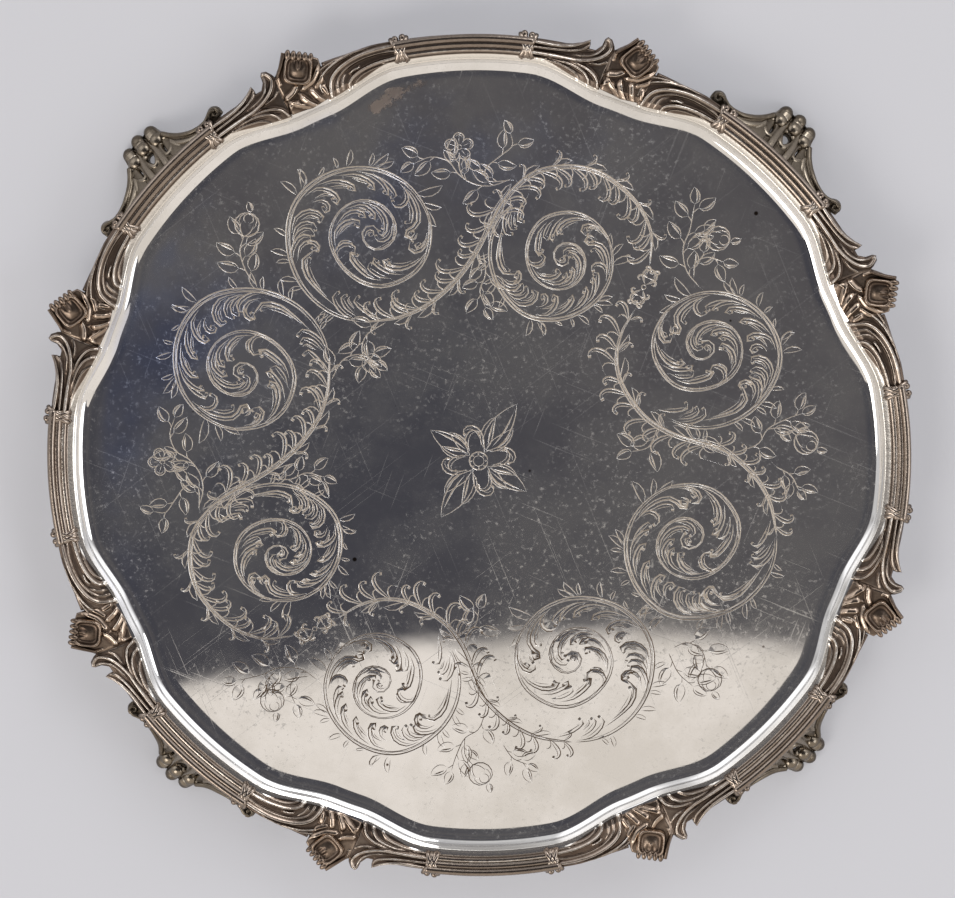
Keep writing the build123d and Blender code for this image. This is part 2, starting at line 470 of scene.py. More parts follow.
class Engraver:
    """Draws the ring of scrolls, the sprays and the middle ornament as cuts on the flat."""

    FULL = 0.29             # half width of a bold cut
    TIP = 0.015             # half width at the two ends of every cut
    FINE = 0.13             # half width of a hairline
    HOOK = 3.5              # how far a lobe turns over, in radians

    def __init__(self) -> None:
        """Starts with an empty drawing and a fixed seed."""
        self.cuts: list[Cut] = []
        self.chance = np.random.default_rng(7)

    # -- strokes

    def cut(self, line: Points, bold: float, start: float = 0.25, end: float = 0.35, belly: float = 0.55) -> None:
        """Adds a stroke that swells from its start to its belly and thins to its end.

        Args:
            line: Its points.
            bold: Half its greatest width.
            start: Share of the width at its start.
            end: Share of the width at its end.
            belly: Where along it the width is greatest.
        """
        share = np.linspace(0, 1, len(line))
        swell = np.where(share < belly, start + (1 - start) * np.sin(share / belly * math.pi / 2),
                         end + (1 - end) * np.cos((share - belly) / (1 - belly) * math.pi / 2))
        half = np.minimum(bold * np.maximum(swell, 0.12), 0.75 * bend_radius(line))
        half[[0, -1]] = self.TIP
        self.cuts.append(Cut(np.asarray(line, float), half))

    def dot(self, place: Points, size: float, heading: float = 0.0) -> None:
        """Adds a short round pick of the graver.

        Args:
            place: Its middle.
            size: Half its length.
            heading: Its direction, in radians.
        """
        reach = size * towards(heading)
        line = np.stack([place - reach, place, place + reach])
        self.cuts.append(Cut(line, np.array([self.TIP, size * 0.85, self.TIP])))

    def lobe(self, start: Points, heading: float, length: float, side: int, bold: float = 1.0) -> None:
        """Adds a long comma: an outer line that hooks over at its tip, an inner line and a round bulb.

        Args:
            start: Where it begins.
            heading: Its first direction, in radians.
            length: Its length.
            side: The side it bends to, 1 for the left.
            bold: Its weight.
        """
        turn = self.HOOK * (0.94 + 0.12 * self.chance.random())
        outer = tendril(start, heading, length, side * turn, 2.3, 10)
        self.cut(outer, self.FULL * bold, 0.3, 0.6, 0.6)
        normal = normals(outer) * side
        gap = 0.085 * length * np.sin(math.pi * np.linspace(0, 0.93, 10))
        gap = np.minimum(gap, 0.55 * bend_radius(outer))[:, None]
        self.cut((outer + normal * gap)[1:9], self.FULL * bold * 0.55, 0.3, 0.4)
        self.dot(outer[-1] + normal[-1] * 0.25, 0.30 + length * 0.02, heading)

    def blade(self, start: Points, heading: float, length: float, width: float, bend: float) -> None:
        """Adds a pointed blade of two lines that meet at its tip.

        Args:
            start: Where it begins.
            heading: Its first direction, in radians.
            length: Its length.
            width: Half its width.
            bend: How far it turns, in radians.
        """
        spine = tendril(start, heading, length, bend, 1.3, 5)
        swell = normals(spine) * (width * np.sin(math.pi * np.linspace(0.06, 1, 5)) ** 0.8)[:, None]
        self.cut(spine + swell, self.FULL * 0.75, 0.5, 0.3)
        self.cut(spine - swell, self.FULL * 0.55, 0.4, 0.3)

    def leaf(self, base: Points, heading: float, length: float, width: float, bend: float = 0.5) -> None:
        """Adds an almond leaf with a shaded half.

        Args:
            base: Its foot.
            heading: Its first direction, in radians.
            length: Its length.
            width: Half its width.
            bend: How far it turns, in radians.
        """
        share = np.linspace(0, 1, 7)
        spine = tendril(base, heading, length, bend, 1.2, 7)
        swell = normals(spine) * (width * np.sin(math.pi * share ** 0.8) ** 0.8)[:, None]
        self.cut(spine + swell, self.FULL * 0.62, 0.4, 0.3)
        self.cut(spine - swell * 0.9, self.FULL * 0.8, 0.4, 0.25)
        self.cut((spine - swell * 0.42)[1:6], self.FULL * 1.15, 0.25, 0.25)

    def ticks(self, line: Points, side: int, count: int = 5) -> None:
        """Adds a row of tiny picks beside a stem.

        Args:
            line: The stem's points.
            side: The side they are on, 1 for the left.
            count: How many there are.
        """
        for place, after in zip(line[:count], line[1:count + 1]):
            step = after - place
            normal = np.array([-step[1], step[0]]) / max(np.linalg.norm(step), 1e-6) * side
            self.cut(np.stack([place + normal * 0.5, place + normal * 1.0, place + normal * 1.5]), 0.16, 0.6, 0.5)

    # -- stems and scrolls

    def stem(self, line: Points, bold: float, gap: float, side: int) -> None:
        """Adds a stem as a bold line, a second line inside it and a hairline between.

        Args:
            line: Its points.
            bold: Its weight.
            gap: From the first line to the second.
            side: The second line's side, 1 for the left.
        """
        taper = np.sin(np.linspace(0.25, 0.97, len(line)) * math.pi)[:, None] ** 0.7
        inwards = normals(line) * side * gap * taper
        self.cut(line, self.FULL * bold, 0.6, 0.5, 0.4)
        self.cut(line + inwards, self.FULL * bold * 0.8, 0.3, 0.4)
        self.cut((line + inwards * 0.5)[::3], self.FINE, 0.5, 0.5)

    STEM = ((-46, 59.5), (-54, 61.5), (-62, 66), (-69, 73.5), (-73.5, 83), (-75, 93), (-74, 103), (-70.5, 111),
            (-64, 117.5), (-55, 122), (-45, 123.5), (-35, 122), (-26, 117), (-20, 110), (-16.5, 102), (-15.8, 95),
            (-17.5, 87), (-22, 80), (-29, 75.5), (-37, 73.5), (-45, 75.5), (-52, 81), (-56.5, 88.5), (-57.5, 96),
            (-55, 103), (-50, 108), (-43, 110), (-36, 108), (-31.5, 103), (-30, 97), (-32, 92), (-37, 89),
            (-42, 90.5), (-44.3, 95), (-43, 98.5), (-39.5, 99.3), (-37.3, 96.8))
    # Commas inside the turns, from where they leave the stem to their hooked tips, with their weight
    COMMAS = (
        (1.0, (-47, 60.5), (-52, 62), (-56, 66), (-57.2, 70.5), (-55.4, 72.4)),
        (0.9, (-48, 62), (-52.3, 65.5), (-53.8, 69.5), (-52.2, 71.2)),
        (0.7, (-48.5, 65), (-51, 68.3), (-50, 70.4)),
        (1.0, (-38, 60.6), (-44.5, 63.6), (-48.6, 68), (-47.4, 70.2)),
        (1.2, (-57, 67.2), (-63, 73), (-67.8, 79), (-69, 84.5), (-67.6, 88), (-64.4, 88.6), (-62.9, 90.4)),
        (0.8, (-60.5, 71.3), (-65.2, 77), (-67, 82.5), (-66.6, 86.4)),
        (1.1, (-70.6, 86.5), (-69.6, 91.5), (-66.4, 93.9), (-62.8, 93.2), (-61.4, 90.6), (-62.6, 88.9), (-64.6, 89.8)),
        (1.2, (-72.9, 84), (-73, 90.5), (-70, 95.6), (-66.4, 96.4), (-64.2, 94.7), (-65, 93.6)),
        (0.9, (-72.6, 90), (-71.3, 96.4), (-67.4, 99.2), (-64, 98.2), (-63.4, 96.5)),
        (0.9, (-72.6, 94), (-70.6, 100), (-66.2, 101.8), (-62.8, 100.4), (-62.3, 98.6)),
        (1.1, (-72.6, 97), (-71, 103.4), (-66, 106.6), (-61, 105.4), (-58.8, 102), (-60.4, 101.3)),
        (0.7, (-68.5, 102.4), (-65, 104.2), (-61.6, 103), (-61.2, 101.4)),
        (0.9, (-63.6, 109.4), (-60, 110.4), (-57, 108.8), (-56.8, 106), (-58.8, 105), (-60, 106.6)),
        (1.1, (-66.6, 112), (-61.5, 115.4), (-56, 114.4), (-53, 111.6), (-52.6, 108.8), (-54.6, 108.2), (-55.8, 109.8)),
        (0.8, (-62.5, 111.2), (-58.4, 113), (-54.8, 111.6)),
        (1.1, (-61, 116.6), (-54, 118.4), (-48.4, 117.2), (-45.6, 114.6), (-46.4, 113.2), (-48.6, 114)),
        (0.7, (-57, 115.4), (-51.6, 116), (-48, 114.8)),
        (1.1, (-53, 120), (-45.4, 120.4), (-40, 118), (-37.8, 114.8), (-39, 113), (-40.6, 114.4)),
        (0.7, (-47, 118.8), (-42, 117.6), (-40, 115.6)),
        (1.0, (-44.5, 121.4), (-38, 119.8), (-34, 116.2), (-32.4, 112.2), (-33.6, 110.6), (-34.6, 112)),
        (0.9, (-37.5, 119.8), (-32.6, 116.4), (-29.8, 112.4), (-29.6, 110.2), (-31, 110)),
        (1.2, (-27.6, 115.6), (-25, 112), (-24.8, 108.8), (-27.2, 106.4), (-30.4, 106.6), (-31.6, 108.2)),
        (1.3, (-28.4, 116.6), (-23.4, 110), (-21.4, 103.6), (-22.2, 99.2), (-25, 97.6), (-27, 95.4), (-25.6, 93.2),
         (-23, 93.8), (-22.8, 95.4)),
        (0.9, (-24.8, 109.6), (-23, 104), (-24, 99.9), (-25.8, 99.4)),
        (0.7, (-21.6, 95.6), (-22.6, 93.2), (-24.6, 93)),
        (1.1, (-17, 99), (-17.2, 93), (-19.4, 88.8), (-22.8, 87.2), (-25.4, 89.2), (-24.8, 92)),
        (0.8, (-17.6, 94), (-19.2, 90.4), (-21.8, 89), (-23, 90.6), (-21.4, 91.6)),
        (1.2, (-18.6, 87.4), (-23, 82.8), (-29, 80.4), (-34, 81.2), (-36.4, 83.8), (-35.4, 85.5), (-33.8, 84.4)),
        (0.8, (-22, 84.6), (-27.4, 82), (-32.4, 82.6), (-34.4, 84.2)),
        (1.0, (-28.4, 78.6), (-34, 79.4), (-38.4, 82), (-40.6, 84.6), (-39.2, 86.2), (-37.8, 84.8)),
        (0.8, (-33.4, 77.2), (-38, 78), (-42.2, 81.2), (-41.8, 83.6)),
        (1.2, (-37, 76.4), (-42.6, 78), (-47.2, 82.2), (-49.8, 86.6), (-48.6, 88.8), (-46.6, 88)),
        (0.8, (-42.2, 79.6), (-46.2, 83.4), (-48, 86.8)),
        (1.0, (-53.4, 83.6), (-55.6, 88.6), (-53, 92), (-49.2, 92.2), (-46.8, 90.2), (-47.4, 88)),
        (0.8, (-54.6, 89.6), (-53.2, 92.8), (-50.4, 93.4), (-48.6, 92.8)),
        (1.1, (-55.2, 91), (-55, 97.4), (-51, 101.4), (-46.4, 102), (-43.8, 100.4), (-44.8, 99.3)),
        (0.8, (-53.8, 95.6), (-51, 99.4), (-47.4, 100.4)),
        (1.0, (-54.4, 99.8), (-50, 105), (-45, 105.8), (-42, 103.4), (-43, 101.8), (-44.6, 102.6)),
        (1.0, (-50, 106.4), (-43.6, 108), (-39.4, 105.4), (-38, 102.6), (-39.4, 101.2), (-40.6, 102.4)),
        (0.8, (-47, 106), (-42.4, 106), (-40, 104)),
        (1.1, (-43.4, 108.8), (-37.8, 107), (-34.2, 102.8), (-33.6, 98), (-35.4, 94.8), (-37.2, 94.4), (-37.4, 95.8)),
        (0.8, (-38.4, 106), (-35.4, 102.2), (-35, 98.2)),
        (0.9, (-31.6, 99.6), (-32.4, 95), (-35, 92.6), (-38.2, 92.8), (-39, 94.2)),
        (0.8, (-43.2, 94), (-42, 97), (-39.8, 97.4), (-39.2, 95.6), (-40.6, 94.8)),
    )
    # Pointed blades outside the first turn, as (x, y, heading in degrees, length)
    BLADES = (
        (-21, 111.5, 20, 11.0), (-18.5, 107.5, -12, 7.5), (-16.8, 104, -62, 7.0),
        (-38.5, 123.2, 42, 8.5), (-37, 123.2, 18, 7.5), (-40, 123.8, 75, 5.5),
        (-49, 124, 78, 7.0), (-53, 123.2, 112, 4.5), (-60.5, 120.4, 62, 4.0),
        (-66, 117, 120, 7.0), (-67.5, 115.5, 96, 8.0), (-70, 113, 142, 8.5),
        (-74.6, 88, 166, 7.5), (-74.2, 85.4, 186, 5.5), (-74.9, 96, 150, 6.0),
        (-71.6, 77.4, 178, 7.0), (-69.6, 74.4, 196, 5.5), (-60.5, 64.6, 248, 6.0), (-57, 62.6, 222, 4.5),
    )

    def comma(self, points: Points, weight: float) -> None:
        """Adds a comma along given points: its outer line, a companion inside it and a bulb at its tip.

        Args:
            points: The given points.
            weight: Its weight.
        """
        line = through(points, max(7, int(1.4 * len(points))))
        along = np.gradient(line, axis=0)
        headings = np.unwrap(np.arctan2(along[:, 1], along[:, 0]))
        side = 1.0 if headings[-1] > headings[0] else -1.0
        normal = normals(line) * side
        length = float(run_length(line)[-1])
        self.cut(line, self.FULL * weight, 0.25, 0.65, 0.62)
        gap = min(0.11 * length, 1.35) * np.sin(math.pi * np.linspace(0, 0.88, len(line)) ** 0.9)
        gap = np.minimum(gap, 0.6 * bend_radius(line))[:, None]
        self.cut((line + normal * gap)[1:-1], self.FULL * weight * 0.62, 0.3, 0.5)
        if weight > 0.75:
            round_off = min(0.42 + 0.022 * length, 0.75)
            turn = float(headings[-1]) - side * math.pi / 2 + side * np.radians([0, 75, 150, 225])
            centre = line[-1] + normal[-1] * round_off
            self.cut(centre + round_off * on_circle(turn), self.FULL * weight * 0.8, 0.9, 0.7)

    def scroll(self, scroll: Scroll) -> None:
        """Adds a whole scroll: stem, commas and the blades outside it.

        Args:
            scroll: Where it stands.
        """
        stem = through(scroll.place(self.STEM), 90)
        normal = normals(stem) * scroll.hand
        share = np.linspace(0, 1, len(stem))[:, None]
        for first, last, gap, weight in ((0, 47, 1.5, 1.05), (41, 72, 1.25, 0.9), (67, 90, 0.7, 0.8)):
            run = slice(first, last)
            taper = np.sin(math.pi * np.linspace(0.12, 0.98, last - first))[:, None] ** 0.7
            self.cut(stem[run], self.FULL * weight, 0.6, 0.5, 0.4)
            inner = (stem + normal * gap * scroll.size)[run] * taper + stem[run] * (1 - taper)
            self.cut(inner, self.FULL * weight * 0.75, 0.3, 0.4)
            self.cut((stem + normal * gap * 0.5 * (1 - 0.5 * share))[run][4:-4:3], self.FINE, 0.5, 0.5)
        for weight, *points in self.COMMAS:
            self.comma(scroll.place(points), weight)
        for x, y, degrees, length in self.BLADES:
            base, tip = scroll.place([(x, y), (x, y) + towards(math.radians(degrees)) * length])
            step = tip - base
            self.blade(base, math.atan2(step[1], step[0]) + scroll.hand * 0.35, float(np.linalg.norm(step)),
                       0.15 * length * scroll.size, -scroll.hand * 0.7)
        self.ticks(stem[58:66], scroll.hand)

    def wave(self, points: list[tuple[float, float]], side: int, spacing: float = 6.5, size: float = 17.5) -> None:
        """Adds a long stem that leaves a crossing, with commas on one side and blades on the other.

        Args:
            points: Given points, from the crossing outwards.
            side: The side of the commas, 1 for the left.
            spacing: From one comma to the next.
            size: Length of the longest comma.
        """
        line = through(points, 5 * len(points))
        self.stem(line, 1.2, 1.4, side)
        along = np.gradient(line, axis=0)
        run = run_length(line)
        for index, place in enumerate(np.arange(1.3 * spacing, run[-1] - 3.0, spacing)):
            row = int(np.searchsorted(run, place))
            heading = math.atan2(along[row][1], along[row][0])
            length = size * (1.0, 0.78, 0.92, 0.7)[index % 4] * (0.92 + 0.16 * self.chance.random())
            start, turn = line[row], 2.5 + 0.5 * self.chance.random()
            self.comma(tendril(start, heading + side * 0.5, length, side * turn, 2.7, 8), 1.1)
            self.cut(tendril(start, heading + side * 0.95, length * 0.5, side * turn, 2.2, 7), self.FULL * 0.8)
            if index % 2:
                self.comma(tendril(start, heading - side * 0.45, length * 0.6, -side * turn * 0.8, 2.5, 6), 0.9)
            else:
                self.blade(line[max(row - 3, 0)], heading - side * 0.6, length * 0.55, length * 0.075, side * 0.75)

    # -- sprays, clasps and the middle

    def spray(self, points: list[tuple[float, float]], leaves: int, size: float, bloom: Bloom) -> None:
        """Adds a flowering twig.

        Args:
            points: Given points of its stalk.
            leaves: How many leaves it has, on alternate sides.
            size: Length of a leaf.
            bloom: What it ends in.
        """
        line = through(points, 20)
        self.cut(line, self.FULL * 0.7, 0.8, 0.6)
        along = np.gradient(line, axis=0)
        for index in range(leaves):
            row = int(3 + (index + 0.3) * 16 / leaves)
            side = 1 if index % 2 else -1
            heading = math.atan2(along[row][1], along[row][0])
            stalk = tendril(line[row], heading + side * 0.35, size * 0.45, side * 0.7, 1.0, 6)
            self.cut(stalk, self.FINE * 1.3, 0.8, 0.8)
            end = stalk[-1] - stalk[-2]
            self.leaf(stalk[-1], math.atan2(end[1], end[0]) + side * 0.1, size * (1.1 + 0.25 * self.chance.random()),
                      size * 0.34, -side * 0.5)
        tip, heading = line[-1], math.atan2(along[-1][1], along[-1][0])
        if bloom is Bloom.ROSETTE:
            self.rosette(tip + 4.2 * towards(heading), 6.0)
        elif bloom is Bloom.BUD:
            self.bud(tip + 4.4 * towards(heading), 5.0, heading)
        else:
            self.leaf(tip, heading, size, size * 0.3, 0.4)

    def ring(self, centre: Points, radius: float, bold: float, first: float = 0.0, last: float = 360.0) -> None:
        """Adds an arc or a whole circle."""
        turn = np.radians(np.linspace(first, last, max(7, int(abs(last - first) / 24))))
        self.cut(centre + radius * on_circle(turn), bold, 0.8, 0.8)

    def rosette(self, centre: Points, size: float) -> None:
        """Adds a flower of five round petals.

        Args:
            centre: Its middle.
            size: Its size.
        """
        self.ring(centre, size * 0.16, self.FULL * 0.5)
        for petal in range(5):
            turn = math.radians(90 + 72 * petal)
            middle = centre + size * 0.62 * towards(turn)
            degrees = math.degrees(turn)
            self.ring(middle, size * 0.36, self.FULL * 0.75, degrees - 140, degrees + 140)
            self.ring(middle, size * 0.22, self.FINE, degrees - 80, degrees + 60)
            self.cut(np.linspace(centre + (middle - centre) * 0.45, middle, 3), self.FINE, 0.6, 0.4)

    def bud(self, centre: Points, size: float, heading: float) -> None:
        """Adds a round half-open flower with a cup at its foot.

        Args:
            centre: Its middle.
            size: Its radius.
            heading: Where it opens, in radians.
        """
        degrees = math.degrees(heading)
        self.ring(centre, size, self.FULL * 0.9, degrees + 20, degrees + 340)
        ahead = towards(heading)
        self.ring(centre + ahead * size * 0.25, size * 0.72, self.FULL * 0.6, degrees - 130, degrees + 130)
        self.ring(centre + ahead * size * 0.5, size * 0.40, self.FINE * 1.4, degrees - 150, degrees + 150)
        for side in (-1, 1):
            self.cut(tendril(centre - ahead * size, heading + side * 1.0, size * 1.25, -side * 1.1, 1.0, 7),
                     self.FULL * 0.7, 0.4, 0.3)
        self.leaf(centre + ahead * size * 1.05, heading + 0.3, size * 0.9, size * 0.28, 0.5)

    def clasp(self, centre: tuple[float, float], heading: float) -> None:
        """Adds a knot of ribbon that ties two stems: paired hooks, small volutes and a bead.

        Args:
            centre: Its middle.
            heading: The direction of its hooks, in radians.
        """
        middle = np.array(centre)
        self.ring(middle, 0.9, self.FULL * 0.7)
        for way in (1, -1):
            ahead = heading + (0 if way > 0 else math.pi)
            reach = towards(ahead)
            for side in (1, -1):
                self.lobe(middle + reach * 1.2, ahead + side * 0.9, 9.5, -side, 1.05)
                self.lobe(middle + reach * 4.0, ahead + side * 1.3, 6.5, side, 1.0)
                self.lobe(middle + reach * 6.8, ahead + side * 0.6, 5.0, side, 0.9)
            degrees = math.degrees(ahead)
            self.ring(middle + reach * 6.2, 1.7, self.FULL * 0.75, degrees - 120, degrees + 120)

    def lozenge(self) -> None:
        """Adds the ornament in the middle: a plain device of crossed leaves and four palms."""
        for quarter in range(4):
            heading = math.radians(-35 + 90 * quarter)
            ahead = towards(heading)
            length = 24.0 if quarter % 2 else 19.0
            base = ahead * 4.6
            self.leaf(base, heading, length, length * 0.20, 0.0)
            for side in (1, -1):
                self.lobe(base * 0.9, heading + side * 0.55, length * 0.85, side, 0.8)
                self.leaf(base * 1.2, heading + side * 0.62, length * 0.62, length * 0.11, -side * 0.7)
        self.ring(np.zeros(2), 3.8, self.FULL * 0.9)
        self.ring(np.zeros(2), 2.2, self.FINE)
        for spoke in range(8):
            turn = math.radians(45 * spoke)
            self.dot(3.0 * towards(turn), 0.45, turn)

    # -- the whole drawing

    def half_ring(self) -> None:
        """Adds the half of the drawing that lies to the upper right of the diagonal it is mirrored in."""
        self.wave([(17, 112), (11, 104), (6, 93), (0, 83), (-8, 73.5), (-19, 65), (-31, 60.5), (-45, 59.3)], -1)
        self.wave([(6, 93), (11, 103), (17, 112), (27, 119.5), (40, 121.5), (52, 119), (62, 112), (69.5, 103),
                   (73.5, 92), (72.5, 80)], -1)
        self.scroll(Scroll((-41, 93.5), 1.0, -97, -1))
        self.scroll(Scroll((35.5, 84.5), 0.83, 128, 1))
        self.clasp((69.6, 70.5), math.radians(60))
        self.wave([(103, 0), (92, 5), (80, 9.5), (70, 16), (63, 25), (59, 34), (58.3, 43), (60.5, 52), (65, 60)], 1)
        self.wave([(88, 6), (98, 3), (107, -4), (114, -12), (119, -22), (121.6, -35)], 1, 6.2, 14.0)
        self.scroll(Scroll((93.8, 42.4), 0.916, -118, 1))
        self.scroll(Scroll((87.9, -36.5), 0.986, 2, -1))
        # Sprays between the scrolls, outside them and inside them
        self.spray([(17, 116.5), (9, 114), (2, 115), (-4, 119), (-8, 124.5), (-15, 126.5), (-22, 124)], 7, 6.5,
                   Bloom.NONE)
        self.spray([(17, 116), (8, 116), (7, 121), (13, 126), (18, 130), (17.5, 135)], 5, 6.0, Bloom.NONE)
        self.spray([(-2, 117), (-3.5, 121), (-3.5, 126)], 2, 5.0, Bloom.ROSETTE)
        self.spray([(92, 70), (87, 77), (86, 86), (89, 94), (91, 104)], 7, 7.0, Bloom.NONE)
        self.spray([(90, 74), (91, 80), (96, 82), (102, 80)], 3, 6.5, Bloom.NONE)
        self.spray([(88, 88), (92, 92), (96, 91)], 2, 5.0, Bloom.BUD)
        self.spray([(108, 1), (115, 4), (119, 10), (127, 14), (133, 16)], 6, 6.5, Bloom.NONE)
        self.spray([(119, 10), (126, 10), (131, 6.5)], 2, 5.0, Bloom.BUD)
        self.spray([(122, -6), (128, -10), (131, -16)], 4, 5.5, Bloom.NONE)
        self.spray([(5, 86), (5.5, 78), (3, 71), (5, 64)], 6, 6.0, Bloom.NONE)
        self.spray([(74, 12), (70, 4), (63, 2)], 3, 7.0, Bloom.NONE)
        self.spray([(-36, 59), (-44, 54), (-46, 47), (-43, 41)], 5, 6.5, Bloom.NONE)

    def axis_sprays(self) -> None:
        """Adds the sprays that stand on the diagonal the drawing is mirrored in."""
        self.spray([(78, -82), (84, -80), (90, -84), (92, -92)], 6, 7.0, Bloom.BUD)
        self.spray([(76, -84), (80, -93), (86, -99)], 4, 7.0, Bloom.NONE)
        self.spray([(-88, 76), (-92, 82), (-94, 90), (-92, 97)], 6, 7.0, Bloom.BUD)

    def draw(self) -> list[Cut]:
        """Draws everything and returns the cuts.

        Returns:
            The cuts.
        """
        self.half_ring()
        self.cuts += [Cut(-cut.line[:, ::-1], cut.half) for cut in self.cuts]
        self.axis_sprays()
        self.lozenge()
        return self.cuts


@dataclass
class Sheet:
    """The raised sheet: engraved flat, bouge, rim and plain underside, as one closed shell."""

    around: int = 360
    cove_steps: int = 10
    under_steps: int = 4
    rise_width: float = 3.6         # the outer strip of the flat, which rises gently to the bouge
    rise_height: float = 0.13
    slope: float = 0.62             # of a groove's walls
    deepest: float = 0.32
    shown: float = 0.10             # depth from which a groove counts as fully cut
    soften: float = 0.93            # share of a quarter turn that the bouge takes

    def face(self, cuts: list[Cut], outline: Points) -> tuple[Points, Points]:
        """Cuts the engraving into the flat.

        Args:
            cuts: The strokes.
            outline: The flat's edge, in plan.

        Returns:
            The face's vertices, with their depth as a negative height, and its triangles.
        """
        places: list[Points] = [outline]
        ring = np.arange(len(outline))
        edges: list[Points] = [np.stack([ring, np.roll(ring, -1)], 1)]
        count = len(outline)
        for cut in cuts:
            side = normals(cut.line) * cut.half[:, None]
            places += [cut.line + side, cut.line, cut.line - side]
            row = np.arange(len(cut.line) - 1)
            for start in (count, count + len(row) + 1, count + 2 * len(row) + 2):
                edges.append(np.stack([start + row, start + row + 1], 1))
            span = len(row) + 1
            ends = [(0, span), (span, 2 * span), (span - 1, 2 * span - 1), (2 * span - 1, 3 * span - 1)]
            edges.append(count + np.array(ends))
            count += 3 * span
        flat = np.vstack(places)
        result = delaunay_2d_cdt([Vector(point) for point in flat.tolist()], np.vstack(edges).tolist(), [], 0,
                                 1e-4, False)
        points = np.array([tuple(point) for point in result[0]])
        faces = np.array(result[2])
        middles = points[faces].mean(axis=1)
        degrees = np.degrees(np.arctan2(middles[:, 1], middles[:, 0]))
        faces = faces[np.hypot(middles[:, 0], middles[:, 1]) < PLAN.lobed(-self.rise_width, degrees) + 0.02]
        depth = self.depths(points, cuts)
        corner = points[faces]
        area = ((corner[:, 1, 0] - corner[:, 0, 0]) * (corner[:, 2, 1] - corner[:, 0, 1])
                - (corner[:, 1, 1] - corner[:, 0, 1]) * (corner[:, 2, 0] - corner[:, 0, 0]))
        faces[area < 0] = faces[area < 0][:, ::-1]
        return np.column_stack([points, -depth]), faces

    def depths(self, points: Points, cuts: list[Cut]) -> Points:
        """How deep each point lies: the deepest of the grooves that cover it.

        Args:
            points: The points.
            cuts: The strokes.

        Returns:
            One depth for each point.
        """
        depth = np.zeros(len(points))
        order = np.argsort(points[:, 0])
        sorted_x = points[order, 0]
        for cut in cuts:
            reach = cut.half.max()
            low, high = cut.line.min(0) - reach, cut.line.max(0) + reach
            near = order[np.searchsorted(sorted_x, low[0]):np.searchsorted(sorted_x, high[0])]
            near = near[(points[near, 1] > low[1]) & (points[near, 1] < high[1])]
            if not len(near):
                continue
            gap, share = to_segments(points[near], cut.line)
            half = cut.half[:-1] + share * np.diff(cut.half)
            depth[near] = np.maximum(depth[near], (half - gap).max(axis=1) * self.slope)
        depth[depth < 1e-4] = 0.0
        return np.minimum(depth, self.deepest)

    def build(self, cuts: list[Cut], name: str) -> Casting:
        """Makes the whole sheet.

        Args:
            cuts: The strokes.
            name: The name of its object.

        Returns:
            The casting.
        """
        degrees = np.linspace(0, 360, self.around, endpoint=False)
        turn = np.radians(degrees)

        def loop(radius: Points, height: float) -> Points:
            """A level ring of the sheet."""
            return np.column_stack([radius * np.cos(turn), radius * np.sin(turn), np.full(self.around, height)])

        outline = loop(PLAN.lobed(-self.rise_width, degrees), PLAN.flat_top)
        face, triangles = self.face(cuts, outline[:, :2])
        casting = Casting(name)
        depth = -face[:, 2]
        face[:, 2] += PLAN.flat_top
        stages = np.linspace(0, math.pi / 2, self.cove_steps)
        width, rise = PLAN.bouge_width, PLAN.flat_drop
        loops = [loop(PLAN.lobed((share - 1) * self.rise_width, degrees),
                      PLAN.flat_top + self.rise_height * share ** 2) for share in (0.25, 0.5, 0.75, 1.0)]
        loops += [loop(PLAN.lobed(width * math.sin(a), degrees),
                       PLAN.flat_top + self.rise_height + (rise - self.rise_height) * (1 - math.cos(a)))
                  for a in stages[1:] * self.soften]
        loops += [loop(PLAN.lobed(width + 0.5, degrees), PLAN.rim_top),
                  loop(np.full(self.around, PLAN.rim_radius - 0.3), PLAN.rim_top),
                  loop(np.full(self.around, PLAN.rim_radius), PLAN.rim_top - 0.3),
                  loop(np.full(self.around, PLAN.rim_radius), PLAN.rim_top - PLAN.sheet)]
        under = width + PLAN.sheet
        loops += [loop(PLAN.lobed(under * math.sin(a), degrees),
                       PLAN.flat_top - PLAN.sheet + rise * (1 - math.cos(a)))
                  for a in np.linspace(math.pi / 2, 0, self.under_steps)]
        # The face keeps its outline points, so the rings start from them
        edge = np.array([int(np.argmin(((face[:, :2] - place) ** 2).sum(axis=1))) for place in outline[:, :2]])
        row = np.arange(self.around)
        rings = [edge] + [len(face) + index * self.around + row for index in range(len(loops))]
        quads = [np.stack([low, high, np.roll(high, -1), np.roll(low, -1)], 1) for low, high in zip(rings, rings[1:])]
        points = np.vstack([face] + loops + [np.array([[0, 0, PLAN.flat_top - PLAN.sheet]])])
        fan = np.stack([np.roll(rings[-1], -1), rings[-1], np.full(self.around, len(points) - 1)], 1)
        cut = np.concatenate([np.clip(depth / self.shown, 0, 1), np.zeros(len(points) - len(face))])
        casting.add(points, [], cut)
        casting.faces += [triangles, np.vstack(quads), fan]
        casting.smooth += [np.full(len(triangles), False), np.full(len(quads) * self.around, True),
                           np.full(len(fan), False)]
        return casting


# ---------------------------------------------------------------- relief

DEGREE = math.radians(1) * STRIP_RADIUS     # length of one degree of the border


def on_strip(points: Iterable[tuple[float, float]]) -> Points:
    """(angle, radius) points as distances along and across the border."""
    array = np.asarray(list(points), float)
    return np.column_stack([array[:, 0] * DEGREE, array[:, 1]])


def off_strip(plan: Points, height: Points) -> Points:
    """Points of the border's strip, bent back round the salver."""
    turn = plan[:, 0] / STRIP_RADIUS
    return np.column_stack([plan[:, 1] * np.cos(turn), plan[:, 1] * np.sin(turn), height])


def at(degrees: float, radius: float, height: float) -> Points:
    """A point at a polar angle, a radius and a height."""
    return np.array([radius * math.cos(math.radians(degrees)), radius * math.sin(math.radians(degrees)), height])


